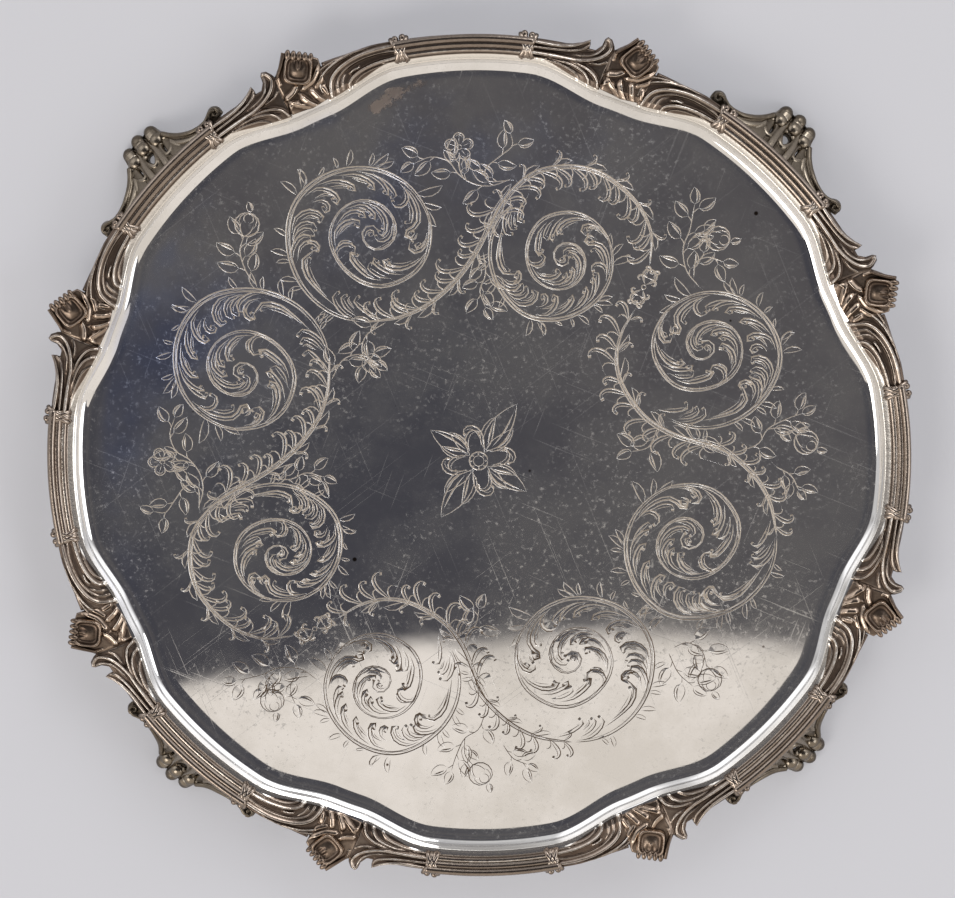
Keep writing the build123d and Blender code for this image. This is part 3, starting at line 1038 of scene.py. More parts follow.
def nearest(plan: Points, line: Points) -> tuple[Points, Points, Points]:
    """How plan points lie from a line.

    Args:
        plan: The points.
        line: The line's points.

    Returns:
        Their distances, which side they are on, 1 for the left, and the share of the line's length
        at which they are nearest.
    """
    gap, share = to_segments(plan, line)
    best = gap.argmin(axis=1)
    row = np.arange(len(plan))
    span, offset = np.diff(line, axis=0)[best], plan - line[best]
    cross = span[:, 0] * offset[:, 1] - span[:, 1] * offset[:, 0]
    return gap[row, best], np.sign(cross), (best + share[row, best]) / (len(line) - 1)


def signed(polygon: Points) -> Callable[[Points], Points]:
    """Signed distance to a closed outline, negative inside.

    Args:
        polygon: The outline's corners.

    Returns:
        A function that gives the distances of plan points.
    """
    closed = np.vstack([polygon, polygon[:1]])

    def distance(plan: Points) -> Points:
        """Distances of plan points, by the number of sides a ray from each one crosses.

        Args:
            plan: The points.

        Returns:
            Their distances.
        """
        gap = nearest(plan, closed)[0]
        x, y = plan[:, 0][:, None], plan[:, 1][:, None]
        x0, y0, x1, y1 = closed[:-1, 0], closed[:-1, 1], closed[1:, 0], closed[1:, 1]
        crossing = ((y0 > y) != (y1 > y)) & (x < (x1 - x0) * (y - y0) / np.where(y1 == y0, TINY, y1 - y0) + x0)
        return np.where(crossing.sum(axis=1) % 2 == 1, -gap, gap)

    return distance


@dataclass(frozen=True)
class Ridge:
    """A raised line of a casting.

    Its points are given in plan. Left and right are how far its flanks reach, tall its height
    over the ground, rounded 1 for a round back and 0 for a sharp crest with hollow flanks, and start
    and end the shares of its height and width that it keeps at its ends.
    """

    points: tuple[tuple[float, float], ...]
    left: float
    right: float
    tall: float
    rounded: float = 1.0
    start: float = 0.55
    end: float = 0.55

    def laid(self) -> "Ridge":
        """The same ridge, with its (angle, radius) points laid along the border's strip."""
        return replace(self, points=tuple(map(tuple, on_strip(self.points))))

    def lift(self, plan: Points, line: Points) -> Points:
        """Height over the ground at plan points, with its line already worked out.

        Args:
            plan: The points.
            line: The ridge's line.

        Returns:
            One height for each point.
        """
        lift = np.zeros(len(plan))
        reach = max(self.left, self.right)
        near = np.flatnonzero(((plan > line.min(0) - reach) & (plan < line.max(0) + reach)).all(axis=1))
        if not len(near):
            return lift
        gap, side, share = nearest(plan[near], line)
        swell = np.minimum(self.start + (1 - self.start) * smooth(0, 0.3, share),
                           self.end + (1 - self.end) * smooth(0, 0.4, 1 - share))
        width = np.where(side > 0, self.left, self.right) * np.sqrt(swell)
        off = np.clip(gap / width, 0, 1)
        round_back = np.sqrt(np.clip(1 - off ** 2, 0, 1))
        sharp_back = (1 - off) ** 1.5
        lift[near] = self.tall * swell * (self.rounded * round_back + (1 - self.rounded) * sharp_back)
        return lift


def blur(grid: Points, reach: int) -> Points:
    """A grid of heights, evened out over a square.

    Args:
        grid: The heights.
        reach: Half the square's side, in grid steps.

    Returns:
        The evened heights.
    """
    size = 2 * reach + 1
    for axis in (0, 1):
        padded = np.pad(grid, [(reach + 1, reach) if a == axis else (0, 0) for a in (0, 1)], mode="edge")
        total = np.cumsum(padded, axis=axis)
        grid = (np.take(total, range(size, total.shape[axis]), axis)
                - np.take(total, range(0, total.shape[axis] - size), axis)) / size
    return grid


@dataclass
class Relief:
    """A casting worked out over its plan: an outline, a ground and ridges, closed by walls and a back."""

    low: tuple[float, float]
    high: tuple[float, float]
    step: float
    inside: Callable[[Points], Points]
    ground: Callable[[Points], Points]
    ridges: list[Ridge]
    bottom: float
    place: Callable[[Points, Points], Points]
    edge: float = 0.8
    edge_share: float = 0.45
    crease: float = 1.3         # how strongly hollows and crests show in the wear
    back_wear: float = 0.25
    rubbed: Callable[[Points], Points] | None = None

    def height(self, plan: Points) -> Points:
        """Ground and ridges together.

        Args:
            plan: The points.

        Returns:
            One height for each point.
        """
        top = np.zeros(len(plan))
        for ridge in self.ridges:
            top = np.maximum(top, ridge.lift(plan, through(ridge.points, 10 * len(ridge.points))))
        return self.ground(plan) + top

    def build(self, casting: Casting) -> None:
        """Adds the relief to a casting as one closed shell.

        Args:
            casting: What it is added to.
        """
        columns = int((self.high[0] - self.low[0]) / self.step) + 1
        rows = int((self.high[1] - self.low[1]) / self.step) + 1
        grid_x, grid_y = np.meshgrid(self.low[0] + self.step * np.arange(columns),
                                     self.low[1] + self.step * np.arange(rows), indexing="ij")
        plan = np.column_stack([grid_x.ravel(), grid_y.ravel()])
        gap = self.inside(plan)
        # Points close to the outline slide onto it
        for _ in range(2):
            close = np.flatnonzero(np.abs(gap) < self.step * 0.72)
            nudge = self.step * 0.05
            slope = np.column_stack([self.inside(plan[close] + [nudge, 0]) - self.inside(plan[close] - [nudge, 0]),
                                     self.inside(plan[close] + [0, nudge]) - self.inside(plan[close] - [0, nudge])])
            slope /= np.maximum(np.linalg.norm(slope, axis=1)[:, None], TINY)
            moved = plan[close] - slope * gap[close][:, None] * 0.98
            plan[close] = moved
            gap[close] = self.inside(moved)
        keep = gap < self.step * 0.08
        height = self.height(plan)
        field_grid = height.reshape(columns, rows)
        hollow = field_grid - blur(blur(field_grid, 3), 3)
        wear = np.clip(0.5 + hollow.ravel() * self.crease, 0, 1)
        if self.rubbed:
            wear = np.maximum(wear, self.rubbed(plan))
        under = np.full(len(plan), self.bottom)
        near_edge = np.clip(-gap / self.edge, 0, 1)
        share = self.edge_share + (1 - self.edge_share) * np.sqrt(1 - (1 - near_edge) ** 2)
        height = under + (height - under) * share
        index = np.arange(columns * rows).reshape(columns, rows)
        quads = np.stack([index[:-1, :-1], index[1:, :-1], index[1:, 1:], index[:-1, 1:]], -1).reshape(-1, 4)
        kept = keep[quads]
        middle = self.inside(plan[quads].mean(axis=1)) < 0
        whole = quads[kept.all(axis=1) & middle]
        three = quads[(kept.sum(axis=1) == 3)]
        gone = (~keep[three]).argmax(axis=1)
        order = (gone[:, None] + np.arange(1, 4)) % 4
        corner = np.take_along_axis(three, order, 1)
        corner = corner[self.inside(plan[corner].mean(axis=1)) < 0]
        whole, corner = self.single(whole, corner)
        used = np.unique(np.concatenate([whole.ravel(), corner.ravel()]))
        fresh = np.full(len(plan), -1)
        fresh[used] = np.arange(len(used))
        whole, corner = fresh[whole], fresh[corner]
        top = self.place(plan[used], height[used])
        back = self.place(plan[used], under[used])
        edges = rim_edges([whole, corner])
        walls = np.column_stack([edges[:, 1], edges[:, 0], edges[:, 0] + len(used), edges[:, 1] + len(used)])
        points = np.vstack([top, back])
        faces = [whole, corner, whole[:, ::-1] + len(used), corner[:, ::-1] + len(used), walls]
        casting.add(points, faces, np.concatenate([wear[used], np.full(len(used), self.back_wear)]))

    @staticmethod
    def single(whole: Points, corner: Points) -> tuple[Points, Points]:
        """Drops faces until no vertex joins two parts of the outline.

        Args:
            whole: Faces with four corners.
            corner: Faces with three.

        Returns:
            The faces that stay.
        """
        for _ in range(4):
            edges = rim_edges([whole, corner])
            starts, counts = np.unique(edges[:, 0], return_counts=True)
            shared = starts[counts > 1]
            if not len(shared):
                break
            whole = whole[~np.isin(whole, shared).any(axis=1)]
            corner = corner[~np.isin(corner, shared).any(axis=1)]
        return whole, corner


# ---------------------------------------------------------------- geometry nodes

class Nodes:
    """A node tree under construction."""

    def __init__(self, tree: bpy.types.NodeTree) -> None:
        """Works on one node tree."""
        self.tree = tree

    def feed(self, value: object, socket: bpy.types.NodeSocket) -> None:
        """Links or sets one input.

        Args:
            value: A value, a socket, or a node, which stands for its first output.
            socket: The input.
        """
        if isinstance(value, bpy.types.Node):
            value = value.outputs[0]
        if isinstance(value, bpy.types.NodeSocket):
            self.tree.links.new(value, socket)
        else:
            socket.default_value = value

    def node(self, kind: str, settings: dict[str, object] | None = None, **sockets: object) -> bpy.types.Node:
        """Adds a node.

        Args:
            kind: Its type.
            settings: Its own properties.
            sockets: What feeds its inputs, which are named with an underscore for each space.

        Returns:
            The node.
        """
        node = self.tree.nodes.new(kind)
        for name, value in (settings or {}).items():
            setattr(node, name, value)
        for name, value in sockets.items():
            wanted = name.replace("_", " ")
            self.feed(value, next(s for s in node.inputs if s.name == wanted and s.enabled))
        return node

    def maths(self, operation: str, first: object, second: object = 0.0,
              kind: str = "ShaderNodeMath") -> bpy.types.NodeSocket:
        """Adds a sum.

        Args:
            operation: Its name.
            first: What feeds its first input.
            second: What feeds its second input.
            kind: The node's type, for numbers or for vectors.

        Returns:
            The result.
        """
        node = self.node(kind, {"operation": operation})
        self.feed(first, node.inputs[0])
        self.feed(second, node.inputs[1])
        return node.outputs[0]

    def plus(self, first: object, second: object) -> bpy.types.NodeSocket:
        """The sum of two numbers."""
        return self.maths("ADD", first, second)

    def minus(self, first: object, second: object) -> bpy.types.NodeSocket:
        """The difference of two numbers."""
        return self.maths("SUBTRACT", first, second)

    def times(self, first: object, second: object) -> bpy.types.NodeSocket:
        """The product of two numbers."""
        return self.maths("MULTIPLY", first, second)


class Tree(Nodes):
    """A Geometry Nodes tree under construction, whose output is one geometry."""

    def __init__(self, name: str) -> None:
        """Starts the tree.

        Args:
            name: Its name.
        """
        super().__init__(bpy.data.node_groups.new(name, "GeometryNodeTree"))
        self.tree.interface.new_socket("Geometry", in_out="OUTPUT", socket_type="NodeSocketGeometry")
        self.inputs = self.tree.nodes.new("NodeGroupInput")
        self.output = self.tree.nodes.new("NodeGroupOutput")

    def size(self, name: str, kind: str = "NodeSocketFloat") -> bpy.types.NodeSocket:
        """Adds a named input and returns its socket."""
        self.tree.interface.new_socket(name, in_out="INPUT", socket_type=kind)
        return self.inputs.outputs[name]

    def finish(self, geometry: object) -> bpy.types.NodeTree:
        """Realises the geometry, gives it its material and closes the tree.

        Args:
            geometry: What the tree has made.

        Returns:
            The finished tree.
        """
        material = self.size("Material", "NodeSocketMaterial")
        realised = self.node("GeometryNodeRealizeInstances", Geometry=geometry)
        dressed = self.node("GeometryNodeSetMaterial", Geometry=realised, Material=material)
        self.feed(dressed, self.output.inputs[0])
        return self.tree


def grown(tree: bpy.types.NodeTree, values: dict[str, object]) -> Shell:
    """Runs a tree and reads its mesh.

    Args:
        tree: The tree.
        values: A value for each of its named inputs.

    Returns:
        The mesh's vertices and its faces, gathered by their number of corners.
    """
    host = bpy.data.objects.new(tree.name, bpy.data.meshes.new(tree.name))
    bpy.context.scene.collection.objects.link(host)
    modifier = host.modifiers.new("made", "NODES")
    modifier.node_group = tree
    for item in tree.interface.items_tree:
        if item.item_type == "SOCKET" and item.in_out == "INPUT" and item.name in values:
            modifier[item.identifier] = values[item.name]
    graph = bpy.context.evaluated_depsgraph_get()
    mesh = bpy.data.meshes.new_from_object(host.evaluated_get(graph))
    host.modifiers.remove(modifier)
    bpy.data.objects.remove(host)
    points = np.zeros(len(mesh.vertices) * 3, np.float32)
    mesh.vertices.foreach_get("co", points)
    sizes = np.zeros(len(mesh.polygons), np.int32)
    mesh.polygons.foreach_get("loop_total", sizes)
    starts = np.zeros(len(mesh.polygons), np.int32)
    mesh.polygons.foreach_get("loop_start", starts)
    corners = np.zeros(len(mesh.loops), np.int32)
    mesh.loops.foreach_get("vertex_index", corners)
    faces = [corners[starts[sizes == size][:, None] + np.arange(size)] for size in np.unique(sizes)]
    bpy.data.meshes.remove(mesh)
    return points.reshape(-1, 3).astype(float), faces


class Makers:
    """The trees that make the salver's repeated work, in millimetres."""

    def __init__(self, dress: bpy.types.Material) -> None:
        """Builds every tree once.

        Args:
            dress: The finish of what they make.
        """
        self.dress = dress
        self.reed_tree = self.make_reeds()
        self.tie_tree = self.make_tie()
        self.scallop_tree = self.make_scallops()

    @staticmethod
    def make_reeds() -> bpy.types.NodeTree:
        """Parallel round rods that run on arcs a pitch apart.

        Returns:
            The tree.
        """
        tree = Tree("reeds")
        radius, pitch, count = tree.size("Radius"), tree.size("Pitch"), tree.size("Count", "NodeSocketInt")
        thick, height = tree.size("Thickness"), tree.size("Height")
        first, sweep_angle = tree.size("First angle"), tree.size("Sweep angle")
        arc = tree.node("GeometryNodeCurveArc", {"mode": "RADIUS"}, Resolution=49, Radius=radius,
                        Start_Angle=first, Sweep_Angle=sweep_angle)
        row = tree.node("GeometryNodeMeshLine", Count=count)
        index = tree.node("GeometryNodeInputIndex")
        kept = tree.node("GeometryNodeStoreNamedAttribute", {"data_type": "FLOAT", "domain": "POINT"},
                         Geometry=row, Name="rank", Value=index)
        stacked = tree.node("GeometryNodeSetPosition", Geometry=kept, Position=(0.0, 0.0, 0.0))
        copies = tree.node("GeometryNodeInstanceOnPoints", Points=stacked, Instance=arc)
        loose = tree.node("GeometryNodeRealizeInstances", Geometry=copies)
        rank = tree.node("GeometryNodeInputNamedAttribute", {"data_type": "FLOAT"}, Name="rank")
        place = tree.node("GeometryNodeInputPosition")
        out = tree.node("ShaderNodeVectorMath", {"operation": "NORMALIZE"}, Vector=place)
        reach = tree.times(rank, pitch)
        push = tree.node("ShaderNodeVectorMath", {"operation": "SCALE"}, Vector=out, Scale=reach)
        lift = tree.node("ShaderNodeCombineXYZ", Z=height)
        shift = tree.maths("ADD", push, lift, "ShaderNodeVectorMath")
        spread = tree.node("GeometryNodeSetPosition", Geometry=loose, Offset=shift)
        section = tree.node("GeometryNodeCurvePrimitiveCircle", Resolution=14, Radius=thick)
        rods = tree.node("GeometryNodeCurveToMesh", Curve=spread, Profile_Curve=section, Fill_Caps=True)
        return tree.finish(rods)

    @staticmethod
    def make_tie() -> bpy.types.NodeTree:
        """Strands of ribbon that arch over the reeds side by side, leaning one way and then the other.

        Returns:
            The tree.
        """
        tree = Tree("tie")
        length, rise, lean = tree.size("Length"), tree.size("Rise"), tree.size("Lean")
        count, gap, thick = tree.size("Count", "NodeSocketInt"), tree.size("Gap"), tree.size("Thickness")
        half = tree.times(length, 0.5)
        back = tree.times(length, -0.5)
        start = tree.node("ShaderNodeCombineXYZ", X=back)
        end = tree.node("ShaderNodeCombineXYZ", X=half)
        run = tree.node("GeometryNodeCurvePrimitiveLine", Start=start, End=end)
        fine = tree.node("GeometryNodeResampleCurve", Curve=run, Count=25)
        share = tree.node("GeometryNodeSplineParameter")
        turn = tree.times(share.outputs["Factor"], math.pi)
        arch = tree.maths("POWER", tree.maths("SINE", turn), 0.55)
        lift = tree.node("ShaderNodeCombineXYZ", Z=tree.times(arch, rise))
        arched = tree.node("GeometryNodeSetPosition", Geometry=fine, Offset=lift)
        row = tree.node("GeometryNodeMeshLine", Count=count, Offset=tree.node("ShaderNodeCombineXYZ", Y=gap))
        index = tree.node("GeometryNodeInputIndex")
        odd = tree.maths("MODULO", index, 2.0)
        side = tree.minus(tree.times(odd, 2.0), 1.0)
        spin = tree.node("ShaderNodeCombineXYZ", Z=tree.times(side, lean))
        strands = tree.node("GeometryNodeInstanceOnPoints", Points=row, Instance=arched, Rotation=spin)
        loose = tree.node("GeometryNodeRealizeInstances", Geometry=strands)
        section = tree.node("GeometryNodeCurvePrimitiveCircle", Resolution=12, Radius=thick)
        made = tree.node("GeometryNodeCurveToMesh", Curve=loose, Profile_Curve=section, Fill_Caps=True)
        return tree.finish(made)

    @staticmethod
    def make_scallops() -> bpy.types.NodeTree:
        """A row of rounded teeth that shrink a little along it.

        Returns:
            The tree.
        """
        tree = Tree("scallops")
        count, gap = tree.size("Count", "NodeSocketInt"), tree.size("Gap")
        size = tree.size("Size", "NodeSocketVector")
        row = tree.node("GeometryNodeMeshLine", Count=count,
                        Offset=tree.node("ShaderNodeCombineXYZ", Y=tree.times(gap, -1.0)))
        tooth = tree.node("GeometryNodeMeshUVSphere", Segments=20, Rings=12, Radius=1.0)
        index = tree.node("GeometryNodeInputIndex")
        shrink = tree.minus(1.0, tree.times(index, 0.035))
        scale = tree.node("ShaderNodeVectorMath", {"operation": "SCALE"}, Vector=size, Scale=shrink)
        made = tree.node("GeometryNodeInstanceOnPoints", Points=row, Instance=tooth, Scale=scale)
        return tree.finish(made)

    def reeds(self, radius: float, pitch: float, count: int, thick: float, height: float, half_arc: float) -> Shell:
        """Rods on arcs, centred on the +X axis.

        Args:
            radius: Radius of the first rod.
            pitch: From one rod to the next.
            count: How many there are.
            thick: Radius of a rod's own section.
            height: Height of their middles.
            half_arc: Degrees each side of the axis.

        Returns:
            Their vertices and faces.
        """
        return grown(self.reed_tree, {
            "Radius": radius, "Pitch": pitch, "Count": count, "Thickness": thick, "Height": height,
            "First angle": -math.radians(half_arc), "Sweep angle": 2 * math.radians(half_arc),
            "Material": self.dress})

    def tie(self, length: float, rise: float, lean: float, count: int, gap: float, thick: float) -> Shell:
        """A ribbon tie at the origin, lying along X.

        Args:
            length: Length of a strand.
            rise: How high it arches.
            lean: How far it leans, in radians.
            count: How many strands there are.
            gap: From one strand to the next.
            thick: Radius of a strand.

        Returns:
            Its vertices and faces.
        """
        return grown(self.tie_tree, {
            "Length": length, "Rise": rise, "Lean": lean, "Count": count, "Gap": gap, "Thickness": thick,
            "Material": self.dress})

    def scallops(self, count: int, gap: float, size: tuple[float, float, float]) -> Shell:
        """A row of teeth that starts at the origin and runs along -Y."""
        return grown(self.scallop_tree, {"Count": count, "Gap": gap, "Size": size, "Material": self.dress})


# ---------------------------------------------------------------- border, shells and feet

def bouge_edge(degrees: Points) -> Points:
    """Radius of the sheet's upper bouge line, along which the border sits."""
    return PLAN.lobed(PLAN.bouge_width, degrees)


@dataclass
class BorderSection:
    """One of the eight cast lengths of the border: reeds between ribbon ties, folds and a curled leaf."""

    reeds: int = 3
    inner_reed: float = 170.45
    reed_pitch: float = 2.35
    reed_thick: float = 1.6
    reed_top: float = 22.6
    reed_arc: float = 9.3
    tie_angle: float = 8.45
    tie_radius: float = 173.0
    tie_foot: float = 20.75
    tie_length: float = 9.8
    tie_rise: float = 2.1
    tie_lean: float = 24.0          # degrees by which one strand and the next cross the reeds' square
    strands: int = 4
    strand_gap: float = 0.8
    strand: float = 0.98
    bead_radius: float = 168.9      # the fine wire inside the reeds
    bead_thick: float = 0.36
    bead_height: float = 21.35
    ground_low: float = 20.55       # ground of the leaf work beside the sheet, and how far it rises
    ground_rise: float = 0.75
    rise_width: float = 3.4
    skirt_radius: float = 175.45
    sunk: float = 0.02
    step: float = 0.27

    OUTLINE = ((19.9, 161.9), (20.4, 165), (20.6, 170), (20.2, 173.6), (19.4, 174.9), (17.8, 175.7), (16, 176.3),
               (12, 177.1), (8.5, 176.8), (0, 176.3), (-8.5, 176.3), (-12.5, 175.9), (-14.3, 176.8), (-15.5, 178.2),
               (-16.42, 179.9), (-16.55, 178), (-16.5, 175.5), (-17.4, 176.5), (-18.0, 178.8), (-18.15, 181.6),
               (-18.45, 182.8), (-19.05, 182.2), (-19.55, 180), (-19.8, 177.9), (-19.6, 174), (-19.4, 170),
               (-19.3, 166), (-19.35, 162))

    RIDGES = (
        # Folds towards the shell that follows
        Ridge(((8.6, 175.1), (12, 175), (14, 174.5), (16, 173.1), (17.5, 171.2), (18.5, 168.8), (19, 166),
               (19.25, 163), (19.3, 161.9)), 1.0, 1.45, 1.75, 0.75),
        Ridge(((8.6, 172.8), (11, 173.4), (13.4, 173.1), (15.3, 171.9), (16.8, 169.9), (17.8, 167.4), (18.1, 164.8),
               (18.2, 162.6)), 0.7, 0.75, 1.05, 0.6, 0.8, 0.3),
        Ridge(((8.6, 170.5), (10, 170.3), (12, 169.9), (14, 168.8), (15.5, 167.1), (16.3, 165), (16.5, 163)),
              0.75, 1.25, 1.65, 0.7, 0.8, 0.7),
        Ridge(((14.0, 176.1), (16.5, 175.1), (18.3, 173.4), (19.6, 171.1), (20.2, 168.2), (20.3, 165)),
              0.65, 0.65, 1.25, 0.8, 0.4, 0.4),
        Ridge(((11.5, 176.5), (15, 176.2), (17.5, 175.3), (19.4, 173.8), (20.4, 172)), 0.5, 0.5, 0.9, 0.9, 0.3, 0.5),
        Ridge(((14.4, 169.9), (15.2, 169.5), (15.7, 168.8)), 0.6, 0.6, 1.5, 1.0, 0.8, 0.8),
        Ridge(((16.3, 169.6), (17.0, 167.4), (17.3, 165), (17.4, 162.9)), 0.42, 0.42, 0.5, 0.7, 0.2, 0.4),
        Ridge(((10, 168.5), (12, 168.0), (13.8, 167), (15, 165.4), (15.6, 163.6)), 0.4, 0.5, 0.55, 0.8, 0.2, 0.5),
        # Band and curled leaf towards the shell before
        Ridge(((-8.6, 175.15), (-12, 174.8), (-13.9, 175.6), (-15.2, 177.2), (-16.3, 179.4)), 0.85, 0.95, 1.45, 0.9,
              1.0, 0.35),
        Ridge(((-8.6, 172.9), (-11.5, 173.1), (-14, 173.8), (-15.6, 175.3), (-16.4, 177.4)), 0.75, 0.75, 1.2, 0.9,
              1.0, 0.4),
        Ridge(((-8.6, 170.6), (-14, 170.5), (-15.5, 170.8), (-17, 172), (-18.2, 173.9), (-18.95, 176.2),
               (-19.25, 178.6), (-18.95, 180.9), (-18.6, 182)), 0.85, 1.35, 1.85, 0.75, 1.0, 0.5),
        Ridge(((-14.5, 172.4), (-16.4, 173.3), (-17.5, 174.9), (-18.1, 177), (-18.35, 179.4), (-18.35, 181.4)),
              0.6, 0.55, 1.1, 0.8, 0.3, 0.5),
        Ridge(((-11.8, 169.3), (-14.5, 168.6), (-16.4, 166.9), (-17.3, 164.6), (-17.6, 162.6)), 0.7, 1.0, 1.4, 0.7,
              0.3, 0.7),
        Ridge(((-13.6, 170.0), (-15.7, 169.2), (-17.4, 167.7), (-18.5, 165.4), (-18.95, 162.4)), 0.8, 1.0, 1.55, 0.7,
              0.3, 0.8),
        Ridge(((-10, 168.5), (-12.5, 167.9), (-14.5, 166.5), (-15.6, 164.9), (-16.1, 163.2)), 0.5, 0.7, 0.8, 0.8,
              0.2, 0.5),
        Ridge(((-16.5, 170.6), (-18.2, 171.4), (-19.2, 173)), 0.5, 0.5, 0.8, 0.8, 0.3, 0.4),
    )

    def ground(self, plan: Points) -> Points:
        """The hollow that rises from the sheet to the leaf work."""
        rise = np.clip((plan[:, 1] - bouge_edge(plan[:, 0] / DEGREE)) / self.rise_width, 0, 1)
        return self.ground_low + self.ground_rise * rise ** 1.7

    def inside(self, plan: Points) -> Points:
        """Signed distance to the section's outline, with the sheet's bouge line as its inner side."""
        degrees = plan[:, 0] / DEGREE
        return np.maximum(self.edge(plan), bouge_edge(degrees) - 0.15 - plan[:, 1])

    @staticmethod
    def fillet(plan: Points) -> Points:
        """The smooth strip between the sheet and the reeds, which polishing keeps bright.

        Args:
            plan: Points of the border's strip.

        Returns:
            Their wear.
        """
        degrees = plan[:, 0] / DEGREE
        reach = bouge_edge(degrees) + 2.9 - 1.7 * smooth(9.0, 15.0, np.abs(degrees))
        return 1.5 * smooth(0.5, -0.4, plan[:, 1] - reach)

    def build(self, makers: Makers) -> Casting:
        """Makes the section that is centred on the +X axis.

        Args:
            makers: Makers of the reeds and ties.

        Returns:
            The casting.
        """
        self.edge = signed(on_strip(((-19.35, 158), (19.9, 158)) + self.OUTLINE))
        casting = Casting("border_section")
        Relief((-20.2 * DEGREE, 160.5), (21.0 * DEGREE, 183.4), self.step, self.inside, self.ground,
               [ridge.laid() for ridge in self.RIDGES], PLAN.rim_top - self.sunk, off_strip, edge=0.7,
               rubbed=self.fillet).build(casting)
        # Skirt that hides the edge of the sheet
        skirt = np.array([at(turn, self.skirt_radius, PLAN.rim_top - 0.2) for turn in np.linspace(-19.3, 19.0, 90)])
        casting.add(*sweep(skirt, 0.9, 1.15), 0.3)
        height = self.reed_top - self.reed_thick
        points, faces = makers.reeds(self.inner_reed, self.reed_pitch, self.reeds, self.reed_thick, height,
                                     self.reed_arc)
        high = np.clip((points[:, 2] - height) / self.reed_thick, -1, 1)
        # Polishing brightens the innermost reed most
        rubbed = np.where(np.hypot(points[:, 0], points[:, 1]) < self.inner_reed + 1.2, 0.95, 0.5)
        casting.add(points, faces, 0.14 + rubbed * np.clip(high, 0, 1) ** 4)
        casting.add(*makers.reeds(self.bead_radius, 0.0, 1, self.bead_thick, self.bead_height, self.reed_arc + 2.0),
                    0.75)
        for side in (-1, 1):
            self.tie(casting, makers, side)
        return casting

    def tie(self, casting: Casting, makers: Makers, side: int) -> None:
        """Adds a ribbon tie with its tucked ends over the reeds.

        Args:
            casting: What it is added to.
            makers: Makers of the ties.
            side: 1 or -1, for the two ends of the reeds.
        """
        points, faces = makers.tie(self.tie_length, self.tie_rise, math.radians(self.tie_lean), self.strands,
                                   self.strand_gap, self.strand)
        points[:, 1] -= self.strand_gap * (self.strands - 1) / 2
        matrix = turner(math.radians(side * self.tie_angle))
        points = points @ matrix + at(side * self.tie_angle, self.tie_radius, self.tie_foot)
        high = np.clip((points[:, 2] - 21.0) / 2.6, 0, 1)
        casting.add(points, faces, 0.2 + 0.75 * high)
        for lean, radius in ((-0.52, 177.5), (0.48, 177.2), (-0.6, 168.5), (0.65, 168.8)):
            middle = at(side * self.tie_angle + lean * side, radius, 21.3)
            points, faces = ball(middle, (1.6, 1.45, 1.25) if radius > 173 else (1.3, 0.85, 0.7), axes=matrix)
            casting.add(points, faces, 0.3 + 0.25 * np.clip(points[:, 2] - 21.4, 0, 1.1))


